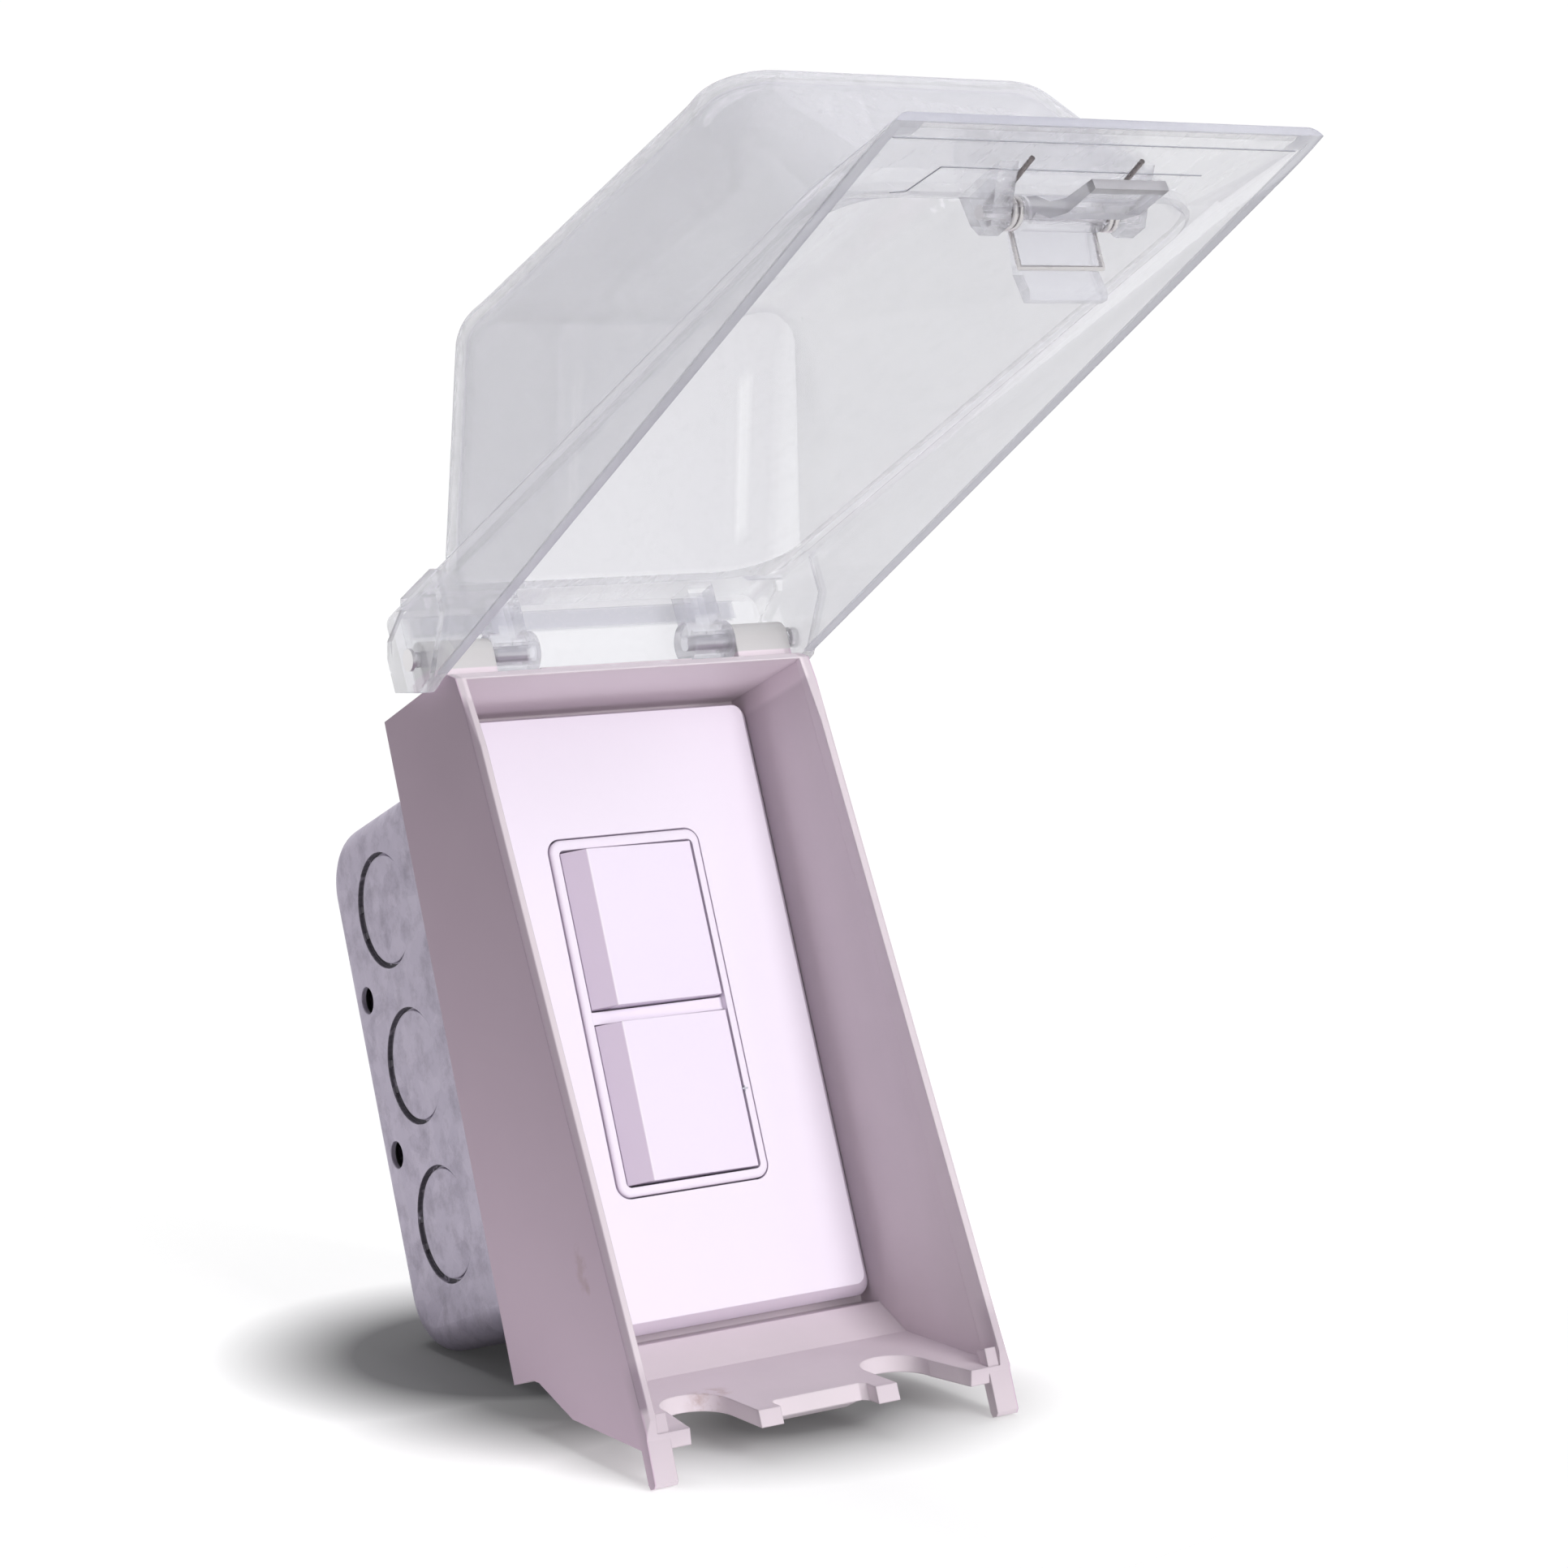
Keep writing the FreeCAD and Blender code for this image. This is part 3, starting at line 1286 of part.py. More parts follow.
def contacts(level):
    """The moving arm with its fork and button, and the two terminals of one switch."""
    centre = middle(level)
    arm = Piece(f"contact_arm_{level}")
    blade = (f"{centre}-arm_half_height", f"{centre}+arm_half_height")
    half = "arm_half_thickness"
    arm.block("Z", *blade, [(f"-{half}", "arm_pivot"), (half, "arm_pivot"),
                            (f"-leg_lean+{half}", "fork_root"), (f"-leg_lean-{half}", "fork_root")])
    slot = "(leg_half+fork_gap)"
    outer = "(leg_half+fork_gap+fork_wall)"
    root = "fork_root+fork_base"
    fork = [
        (f"-leg_lean-{outer}", root), (f"-leg_lean-{outer}", "fork_front"),
        (f"-leg_lean-{slot}", "fork_front"), (f"-leg_lean-{slot}", "fork_root"),
        (f"-leg_lean+{slot}", "fork_root"), (f"-leg_lean+{slot}", "fork_front"),
        (f"-leg_lean+{outer}", "fork_front"), (f"-leg_lean+{outer}", root),
    ]
    arm.block("Z", *blade, fork)
    arm.rod("Z", f"{centre}-arm_pin_half", f"{centre}+arm_pin_half", "0", "arm_pivot", "arm_pin_radius")
    arm.rod("X", "-leg_lean", "button_face", "button_depth", centre, "button_radius")
    keep(arm.body, f"contact_arm_{level}")
    thick = "terminal_thickness"
    wide = (f"{centre}-terminal_half_height", f"{centre}+terminal_half_height")
    edge = ("housing_half_width+terminal_gap", f"housing_half_width+terminal_gap+{thick}")
    fixed = Piece(f"fixed_contact_{level}")
    face = "button_face+contact_gap"
    fixed.rod("X", face, f"{face}+contact_disc", "button_depth", centre, "button_radius+contact_rim")
    strip = (f"button_depth-{thick}/2", f"button_depth+{thick}/2")
    fixed.plain([(f"{face}+contact_strip_set", edge[1]), strip, blade])
    fixed.plain([edge, (strip[0], "button_depth+terminal_tail"), wide])
    bore = "terminal_screw_radius"
    fixed.rod("X", *edge, "button_depth+terminal_screw_offset", centre, bore, cut=True)
    keep(fixed.body, f"fixed_contact_{level}")
    common = Piece(f"common_terminal_{level}")
    far = (f"-({edge[1]})", f"-({edge[0]})")
    depth = ("common_strip_depth", f"common_strip_depth+{thick}")
    ear = "arm_half_height+saddle_side_gap"
    saddle = ("-arm_pin_radius-saddle_wall", "arm_pin_radius+saddle_wall")
    common.plain([(far[0], saddle[1]), depth, (f"{centre}-arm_pin_half", f"{centre}+arm_pin_half")])
    below = (f"{centre}-arm_pin_half", f"{centre}-({ear})")
    above = (f"{centre}+{ear}", f"{centre}+arm_pin_half")
    for height in (below, above):
        common.plain([saddle, ("arm_pivot-arm_pin_radius-saddle_wall", "common_strip_depth"), height])
    common.plain([far, ("common_strip_depth-terminal_tail", depth[1]), wide])
    reach = (f"{centre}-arm_pin_half", f"{centre}+arm_pin_half")
    common.rod("Z", *reach, "0", "arm_pivot", "arm_pin_radius+pin_clearance", cut=True)
    common.rod("X", *far, "common_strip_depth-terminal_screw_offset", centre, bore, cut=True)
    keep(common.body, f"common_terminal_{level}")


def terminal_screws(level):
    """The two binding screws beside one switch."""
    centre = middle(level)
    seat = "housing_half_width+terminal_gap+terminal_thickness"
    depths = {
        "right": "button_depth+terminal_screw_offset",
        "left": "common_strip_depth-terminal_screw_offset",
    }
    bodies = []
    for side, depth in depths.items():
        piece = Piece(f"terminal_screw_{level}_{side}")
        shank = ("terminal_screw_reach", seat)
        head = (seat, f"{seat}+terminal_screw_height")
        if side == "left":
            shank = tuple(f"-({end})" for end in reversed(shank))
            head = tuple(f"-({end})" for end in reversed(head))
        piece.rod("X", *shank, depth, centre, "terminal_screw_radius-screw_fit")
        piece.rod("X", *head, depth, centre, "terminal_screw_head")
        bodies.append(piece.body)
    return bodies


def device():
    """The two-rocker switch with its contacts and housing."""
    screws = []
    for level in LEVELS:
        rocker(level)
        contacts(level)
        screws += terminal_screws(level)
    group("terminal_screws", screws)
    rocker_pins()
    switch_housing()


def write_parts():
    """Check every object and write each piece."""
    DOC.recompute()
    bad = [item.Name for item in DOC.Objects if {"Invalid", "Error"} & set(item.State)]
    if bad:
        raise RuntimeError(f"failed objects: {bad}")
    os.makedirs("parts", exist_ok=True)
    for feature in MADE:
        shape = feature.Shape
        if shape.isNull() or not shape.isValid():
            raise RuntimeError(f"{feature.Label}: the shape is not sound")
        shape.exportStep(f"parts/{feature.Label}.step")
        print(feature.Label, len(shape.Solids), round(shape.Volume, 1))


cover_frame()
lid()
hinge_pins()
latch()
latch_spring()
wall_plates()
insert_frame()
mounting_strap()
fasteners()
wall_box()
wall_gasket()
device()
write_parts()
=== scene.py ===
"""Dress the outdoor weatherproof switch: finishes, fine pieces, floor, light and camera."""
import logging
import math
from dataclasses import dataclass, field
from enum import Enum
from typing import Any, Iterable, Sequence

import bmesh
import bpy
from mathutils import Matrix, Vector


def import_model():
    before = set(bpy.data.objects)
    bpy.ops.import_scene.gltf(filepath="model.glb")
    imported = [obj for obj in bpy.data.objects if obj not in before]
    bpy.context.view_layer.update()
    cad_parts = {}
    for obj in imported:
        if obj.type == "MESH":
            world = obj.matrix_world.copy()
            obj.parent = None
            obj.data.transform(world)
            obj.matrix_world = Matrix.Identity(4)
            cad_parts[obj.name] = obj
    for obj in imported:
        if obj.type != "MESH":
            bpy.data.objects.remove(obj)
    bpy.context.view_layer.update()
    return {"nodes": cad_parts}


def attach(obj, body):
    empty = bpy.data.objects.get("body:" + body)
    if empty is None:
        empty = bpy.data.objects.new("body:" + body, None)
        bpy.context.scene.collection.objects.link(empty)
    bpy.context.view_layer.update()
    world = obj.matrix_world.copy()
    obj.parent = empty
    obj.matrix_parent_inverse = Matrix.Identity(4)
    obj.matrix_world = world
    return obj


LOG = logging.getLogger("outdoor_switch")
MM = 0.001

Colour = tuple[float, float, float]
Triple = tuple[float, float, float]
# An edge is a place and the distance over which it fades, both in millimetres.
Edge = tuple[float, float]
Span = tuple[float, float]

WHITE: Colour = (1.0, 1.0, 1.0)
BLACK: Colour = (0.0, 0.0, 0.0)
NOISE_MIDDLE = 0.5
BEVEL_SAMPLES = 6


def tone(red: int, green: int, blue: int) -> Colour:
    """Turn display values from 0 to 255 into linear light.

    Args:
        red: Red as seen on a display.
        green: Green as seen on a display.
        blue: Blue as seen on a display.

    Returns:
        The colour in linear light.
    """
    def linear(value: int) -> float:
        """Follow the display's curve, which is straight near black."""
        share = value / 255
        return share / 12.92 if share <= 0.04045 else ((share + 0.055) / 1.055) ** 2.4
    return linear(red), linear(green), linear(blue)


@dataclass(frozen=True)
class Pattern:
    """A cloudy noise over a piece.

    Attributes:
        scale: Cells to the metre.
        detail: Octaves.
        roughness: Share of each further octave.
        stretch: Scale along each axis.
        span: The noise's values between which its patches grow from nothing to full.
    """

    scale: float
    detail: float = 3.0
    roughness: float = 0.5
    stretch: Triple = (1.0, 1.0, 1.0)
    span: Span = (0.0, 1.0)


@dataclass(frozen=True)
class Spot:
    """A soft spot on a piece.

    Attributes:
        centre: Its middle in millimetres.
        radii: Its reach along each axis in millimetres.
        edge: Share of the reach over which it fades.
        share: Its strength in the middle.
    """

    centre: Triple
    radii: Triple
    edge: float = 0.5
    share: float = 1.0


@dataclass(frozen=True)
class Relief:
    """How a height shapes the surface.

    Attributes:
        strength: The bump's strength.
        depth: Depth of a height of 1 in metres.
        rounding: Radius in metres by which sharp edges look rounded.
    """

    strength: float
    depth: float
    rounding: float = 0.0


class Wire:
    """A shader value that takes Python's operators and adds the Math nodes for them."""

    def __init__(self, graph: "Graph", socket: bpy.types.NodeSocket) -> None:
        """Hold a node's output.

        Args:
            graph: The graph that the socket belongs to.
            socket: The output that carries the value.
        """
        self.graph = graph
        self.socket = socket

    def __add__(self, other: "Wire | float") -> "Wire":
        """Add."""
        return self.graph.maths("ADD", self, other)

    __radd__ = __add__

    def __sub__(self, other: "Wire | float") -> "Wire":
        """Subtract."""
        return self.graph.maths("SUBTRACT", self, other)

    def __rsub__(self, other: float) -> "Wire":
        """Subtract from a number."""
        return self.graph.maths("SUBTRACT", other, self)

    def __mul__(self, other: "Wire | float") -> "Wire":
        """Multiply."""
        return self.graph.maths("MULTIPLY", self, other)

    __rmul__ = __mul__

    def __truediv__(self, other: "Wire | float") -> "Wire":
        """Divide."""
        return self.graph.maths("DIVIDE", self, other)

    def __abs__(self) -> "Wire":
        """Drop the sign."""
        return self.graph.maths("ABSOLUTE", self)

    def __pow__(self, other: float) -> "Wire":
        """Raise to a power."""
        return self.graph.maths("POWER", self, other)


class Graph:
    """The node graph of one material."""

    def __init__(self, name: str) -> None:
        """Start an empty material.

        Args:
            name: The material's name.
        """
        self.material = bpy.data.materials.new(name)
        self.material.use_nodes = True
        self.tree = self.material.node_tree
        self.tree.nodes.clear()
        self.place = self.add("ShaderNodeTexCoord").outputs["Object"]

    def add(self, kind: str, settings: dict[str, Any] | None = None,
            values: dict[Any, Any] | None = None) -> bpy.types.Node:
        """Add a node, set it up and then fill its inputs.

        Args:
            kind: The node's type.
            settings: Attributes, such as a Math node's operation, or a ramp's stops.
            values: Input name or number to a value, a socket or a wire.

        Returns:
            The new node.
        """
        node = self.tree.nodes.new(kind)
        for name, value in (settings or {}).items():
            if name == "stops":
                self._stops(node, value)
            else:
                setattr(node, name, value)
        for name, value in (values or {}).items():
            self.feed(node.inputs[name], value)
        return node

    @staticmethod
    def _stops(node: bpy.types.Node, stops: Sequence[Span]) -> None:
        """Set a new ramp's two stops, each a place and a grey.

        Args:
            node: The Color Ramp node.
            stops: Places and greys in rising order.
        """
        for element, (place, value) in zip(node.color_ramp.elements, stops):
            element.position = place
            element.color = (value, value, value, 1)

    def feed(self, socket: bpy.types.NodeSocket, value: Any) -> None:
        """Link or set an input.

        Args:
            socket: The input.
            value: A wire, a socket, a colour or a number.
        """
        if isinstance(value, Wire):
            self.tree.links.new(value.socket, socket)
        elif isinstance(value, bpy.types.NodeSocket):
            self.tree.links.new(value, socket)
        elif isinstance(value, tuple) and len(value) == 3 and socket.type == "RGBA":
            socket.default_value = (*value, 1)
        else:
            socket.default_value = value

    def maths(self, operation: str, *values: "Wire | float", clamp: bool = False) -> Wire:
        """Add a Math node.

        Args:
            operation: The node's operation.
            values: Its inputs in order.
            clamp: Whether the result is held between 0 and 1.

        Returns:
            The node's result.
        """
        settings = {"operation": operation, "use_clamp": clamp}
        node = self.add("ShaderNodeMath", settings, dict(enumerate(values)))
        return Wire(self, node.outputs[0])

    def clamp(self, value: "Wire | float") -> Wire:
        """Hold a value between 0 and 1."""
        return self.maths("ADD", value, 0.0, clamp=True)

    def axes(self) -> tuple[Wire, Wire, Wire]:
        """Split the place on the piece into X, Y and Z in metres."""
        node = self.add("ShaderNodeSeparateXYZ", values={0: self.place})
        return Wire(self, node.outputs[0]), Wire(self, node.outputs[1]), Wire(self, node.outputs[2])

    def above(self, value: Wire, edge: Edge) -> Wire:
        """Rise from 0 at an edge's place to 1 behind it.

        Args:
            value: A distance in metres.
            edge: The edge.

        Returns:
            The share.
        """
        place, fade = edge
        return self.clamp((value - place * MM) / (fade * MM))

    def below(self, value: Wire, edge: Edge) -> Wire:
        """Rise from 0 at an edge's place to 1 before it.

        Args:
            value: A distance in metres.
            edge: The edge.

        Returns:
            The share.
        """
        place, fade = edge
        return self.clamp((place * MM - value) / (fade * MM))

    def line(self, value: Wire, edge: Edge) -> Wire:
        """Give 1 at an edge's place, fading to 0 on both sides.

        Args:
            value: A distance in metres.
            edge: The edge.

        Returns:
            The share.
        """
        place, fade = edge
        return self.clamp(1.0 - abs(value - place * MM) / (fade * MM))

    def noise(self, pattern: Pattern) -> Wire:
        """Cover the piece with a pattern's noise.

        Args:
            pattern: The pattern.

        Returns:
            Noise around 0.5.
        """
        mapping = self.add("ShaderNodeMapping", values={"Vector": self.place, "Scale": pattern.stretch})
        values = {"Vector": mapping.outputs[0], "Scale": pattern.scale, "Detail": pattern.detail,
                  "Roughness": pattern.roughness}
        return Wire(self, self.add("ShaderNodeTexNoise", values=values).outputs["Fac"])

    def ramp(self, value: Wire, span: Span, least: float = 0.0) -> Wire:
        """Map a value so that it rises to 1 over a span.

        Args:
            value: The value to map.
            span: Where the rise starts and ends.
            least: The result below the span.

        Returns:
            The mapped value.
        """
        start, end = span
        node = self.add("ShaderNodeValToRGB", {"stops": ((start, least), (end, 1.0))}, {"Fac": value})
        return Wire(self, node.outputs["Color"])

    def patches(self, pattern: Pattern, least: float = 0.0) -> Wire:
        """Give a pattern's patches.

        Args:
            pattern: The pattern.
            least: The result outside them.

        Returns:
            1 in the patches.
        """
        return self.ramp(self.noise(pattern), pattern.span, least)

    def blend(self, share: "Wire | float", low: Any, high: Any) -> bpy.types.NodeSocket:
        """Mix two colours.

        Args:
            share: Share of the second colour.
            low: The first colour.
            high: The second colour.

        Returns:
            The mixed colour.
        """
        node = self.add("ShaderNodeMix", {"data_type": "RGBA"}, {0: share, 6: low, 7: high})
        return node.outputs[2]

    def spot(self, spot: Spot) -> Wire:
        """Place a soft spot on the piece.

        Args:
            spot: The spot.

        Returns:
            Its strength, which is 0 outside it.
        """
        total: Wire | None = None
        for axis, middle, radius in zip(self.axes(), spot.centre, spot.radii):
            part = ((axis - middle * MM) / (radius * MM)) ** 2
            total = part if total is None else total + part
        distance = self.maths("SQRT", total)
        return self.clamp((1.0 - distance) / spot.edge) * spot.share

    def bump(self, height: Wire, relief: Relief) -> bpy.types.NodeSocket:
        """Turn a height into a normal.

        Args:
            height: The height, about 0 to 1.
            relief: How it shapes the surface.

        Returns:
            The normal.
        """
        values: dict[str, Any] = {"Strength": relief.strength, "Distance": relief.depth, "Height": height}
        if relief.rounding:
            soft = self.add("ShaderNodeBevel", {"samples": BEVEL_SAMPLES}, {"Radius": relief.rounding})
            values["Normal"] = soft.outputs[0]
        return self.add("ShaderNodeBump", values=values).outputs[0]

    def finish(self, values: dict[str, Any]) -> bpy.types.Material:
        """Close the graph with a Principled shader.

        Args:
            values: Its inputs.

        Returns:
            The material.
        """
        shader = self.add("ShaderNodeBsdfPrincipled", values=values)
        self.add("ShaderNodeOutputMaterial", values={"Surface": shader.outputs[0]})
        return self.material


@dataclass(frozen=True)
class LidPlace:
    """Where the lid hangs at rest, in millimetres and degrees."""

    hinge: Triple = (0.0, -21.5, 65.0)
    open_tilt: float = 94.6
    length: float = 170.7

    def turn(self) -> Matrix:
        """Give the lid's rotation on its hinge."""
        return Matrix.Rotation(math.radians(-self.open_tilt), 3, "X")

    def along_and_out(self, graph: Graph) -> tuple[Wire, Wire]:
        """Measure the place on the lid from its hinge.

        Args:
            graph: The material's graph.

        Returns:
            The distance along the lid and the distance out from its closed plane.
        """
        _, depth, height = graph.axes()
        turn = math.radians(self.open_tilt)
        back = depth - self.hinge[1] * MM
        rise = height - self.hinge[2] * MM
        along = back * -math.sin(turn) + rise * -math.cos(turn)
        out = back * -math.cos(turn) + rise * math.sin(turn)
        return along, out


LID = LidPlace()


@dataclass(frozen=True)
class Pvc:
    """The cover frame's moulded PVC, with its off-white barrels, stains and nicks, and painted light and
    shade on some of its faces.
    """

    name: str = "cover_pvc"
    shade: Colour = tone(224, 212, 219)
    cool: Colour = tone(217, 206, 214)
    cool_share: float = 0.5
    pale: Colour = tone(231, 218, 228)
    pale_share: float = 0.3
    # Painted light: the underside of the top wall, painted paler as if lit from below.
    roof_painted_light: Colour = tone(246, 234, 241)
    roof_edge: Edge = (54.0, 1.0)
    roof_side: Edge = (35.5, 0.5)
    # Painted shade tint: the outer walls, painted a deeper pink as on their shaded side.
    outside: Colour = tone(222, 195, 217)
    outside_edge: Edge = (36.3, 0.2)
    face_share: float = 0.8
    # Painted shade on the left front lip and the lower front edges.
    shaded: Colour = tone(158, 142, 156)
    lip_depth: Edge = (-1.1, 0.3)
    lip_foot: Edge = (-72.0, 1.5)
    lip_side: Edge = (-35.5, 0.3)
    lip_share: float = 0.8
    low_edge: Edge = (-63.0, 4.0)
    low_depth: Edge = (-4.0, 3.0)
    low_share: float = 0.35
    front: float = -32.6
    front_from: float = 45.5
    front_tilt: float = 5.45
    stain: Colour = tone(150, 104, 78)
    blot: Pattern = Pattern(420, 3, 0.6, span=(0.42, 0.62))
    smear: Spot = Spot((-36.7, -32.5, -46.0), (2.0, 2.4, 5.0), share=0.2)
    dot: Spot = Spot((-36.7, -33.5, -49.5), (2.0, 1.0, 1.3), share=0.15)
    notch: Spot = Spot((-15.0, -28.0, -71.0), (5.0, 3.5, 4.0), share=0.35)
    worn: Colour = tone(250, 246, 250)
    nick: Pattern = Pattern(520, 2, 0.5, span=(0.60, 0.66))
    nick_share: float = 0.8
    rim_edge: Edge = (59.6, 0.4)
    rim_depth: Edge = (-26.0, 0.6)
    barrel: Colour = tone(214, 212, 212)
    barrel_edge: Edge = (61.9, 0.25)
    cloud: Pattern = Pattern(60, 4, 0.6, span=(0.3, 0.7))
    grain: Pattern = Pattern(2600, 2, 0.6)
    streak: Pattern = Pattern(90, 3, 0.5, (1.0, 1.0, 0.12), (0.45, 0.8))
    roughness: float = 0.42
    cloud_roughness: float = 0.16
    gleam: float = 0.3
    grain_height: float = 0.5
    cloud_height: float = 0.5
    relief: Relief = Relief(0.15, 0.00012, 0.0004)

    def build(self) -> bpy.types.Material:
        """Make the material.

        Returns:
            The material.
        """
        graph = Graph(self.name)
        cloud = graph.noise(self.cloud)
        grain = graph.noise(self.grain)
        base = graph.blend(graph.ramp(cloud, self.cloud.span) * self.cool_share, self.shade, self.cool)
        base = graph.blend(graph.patches(self.streak) * self.pale_share, base, self.pale)
        base = self.faces(graph, base)
        base = graph.blend(self.dim(graph), base, self.shaded)
        base = graph.blend(self.marks(graph), base, self.stain)
        base = self.top(graph, base)
        relief = grain * self.grain_height + cloud * self.cloud_height
        return graph.finish({"Base Color": base, "Roughness": self.roughness + cloud * self.cloud_roughness,
                             "Specular IOR Level": self.gleam, "Normal": graph.bump(relief, self.relief)})

    def faces(self, graph: Graph, base: Any) -> bpy.types.NodeSocket:
        """Paint light onto the underside of the top wall, and paint the outer walls a deeper pink, the
        colour they take in shade.

        Args:
            graph: The material's graph.
            base: The colour so far.

        Returns:
            The tinted colour.
        """
        across, _, height = graph.axes()
        # Painted light on the underside of the top wall.
        roof_painted_light = graph.above(height, self.roof_edge) * graph.below(abs(across), self.roof_side)
        base = graph.blend(roof_painted_light * self.face_share, base, self.roof_painted_light)
        # Painted shade tint on the outer walls.
        wall = graph.above(abs(across), self.outside_edge)
        return graph.blend(wall * self.face_share, base, self.outside)

    def dim(self, graph: Graph) -> Wire:
        """Find the left front lip and the lower front edges, where shade is painted to darken them.

        Args:
            graph: The material's graph.

        Returns:
            How strongly they darken.
        """
        across, depth, height = graph.axes()
        slant = (self.front_from * MM - height) * math.tan(math.radians(self.front_tilt))
        ahead = self.front * MM - slant - depth
        # Painted shade on the left front lip.
        lip = graph.above(ahead, self.lip_depth) * graph.above(height, self.lip_foot)
        lip = lip * graph.below(across, self.lip_side)
        # Painted shade on the lower front edges.
        low = graph.below(height, self.low_edge) * graph.above(ahead, self.low_depth)
        return graph.clamp(lip * self.lip_share + low * self.low_share)

    def marks(self, graph: Graph) -> Wire:
        """Find the stains on the left wall and at the left notch, broken up by noise.

        Args:
            graph: The material's graph.

        Returns:
            How strongly the stain shows.
        """
        broken = (graph.spot(self.smear) + graph.spot(self.notch)) * graph.patches(self.blot)
        return graph.clamp(broken + graph.spot(self.dot))

    def top(self, graph: Graph, base: Any) -> bpy.types.NodeSocket:
        """Nick the top rim and whiten the hinge barrels.

        Args:
            graph: The material's graph.
            base: The colour so far.

        Returns:
            The colour with both.
        """
        _, depth, height = graph.axes()
        rim = graph.above(height, self.rim_edge) * graph.below(depth, self.rim_depth)
        base = graph.blend(graph.patches(self.nick) * rim * self.nick_share, base, self.worn)
        return graph.blend(graph.above(height, self.barrel_edge), base, self.barrel)


@dataclass(frozen=True)
class Plastic:
    """Smooth moulded plastic; on a rocker, painted shade on its slanted facet and a painted highlight on
    the crest beside it.
    """

    name: str
    shade: Colour
    second: Colour
    roughness: float = 0.3
    coat: float = 0.0
    facet: float = 0.0
    # Painted shade on the rocker's slanted facet and a painted highlight along its crest.
    facet_painted_shade: Colour = tone(186, 168, 190)
    facet_edge: Edge = (-9.0, 0.15)
    crest_painted_highlight: Colour = tone(255, 250, 255)
    crest_line: Edge = (-9.0, 0.25)
    cloud: Pattern = Pattern(45, 3, 0.5)
    grain: Pattern = Pattern(1900, 2, 0.5)
    cloud_share: float = 0.6
    grain_share: float = 0.4
    cloud_roughness: float = 0.02
    grain_roughness: float = 0.04
    relief: Relief = Relief(0.06, 0.0001, 0.0003)

    def build(self) -> bpy.types.Material:
        """Make the material.

        Returns:
            The material.
        """
        graph = Graph(self.name)
        cloud = graph.noise(self.cloud)
        grain = graph.noise(self.grain)
        base = graph.blend(cloud * self.cloud_share + grain * self.grain_share, self.shade, self.second)
        if self.facet:
            across, _, _ = graph.axes()
            # Painted shade on the slanted facet, then a painted highlight along the crest.
            base = graph.blend(graph.below(across, self.facet_edge) * self.facet, base, self.facet_painted_shade)
            base = graph.blend(graph.line(across, self.crest_line) * self.facet, base, self.crest_painted_highlight)
        rough = self.roughness + (cloud - NOISE_MIDDLE) * self.cloud_roughness
        rough = rough + grain * self.grain_roughness
        return graph.finish({"Base Color": base, "Roughness": rough, "Coat Weight": self.coat,
                             "Normal": graph.bump(grain, self.relief)})


@dataclass(frozen=True)
class Veil:
    """How much of a clear piece's surface is milky: everywhere, and more where something shows."""

    everywhere: float = 0.10
    scuff: float = 0.04
    cloud: float = 0.04
    grazing: float = 0.55
    smoke: float = 0.6
    speck: float = 0.6
    # rim: share of the painted edge shade and hinge shadow.
    rim: float = 0.4
    # streak: less veil along the painted highlight.
    streak: float = -0.1


@dataclass(frozen=True)
class Zones:
    """Where a clear piece looks other than plain: 1 in each zone and 0 elsewhere."""

    smoke: "Wire | float" = 0.0
    speck: "Wire | float" = 0.0
    # rim: painted shade on the lid's thick edges and painted shadow on its hinge band.
    rim: "Wire | float" = 0.0
    # near: painted shade on the lid's near wall.
    near: "Wire | float" = 0.0
    # streak: a painted highlight on the near wall's corner.
    streak: "Wire | float" = 0.0


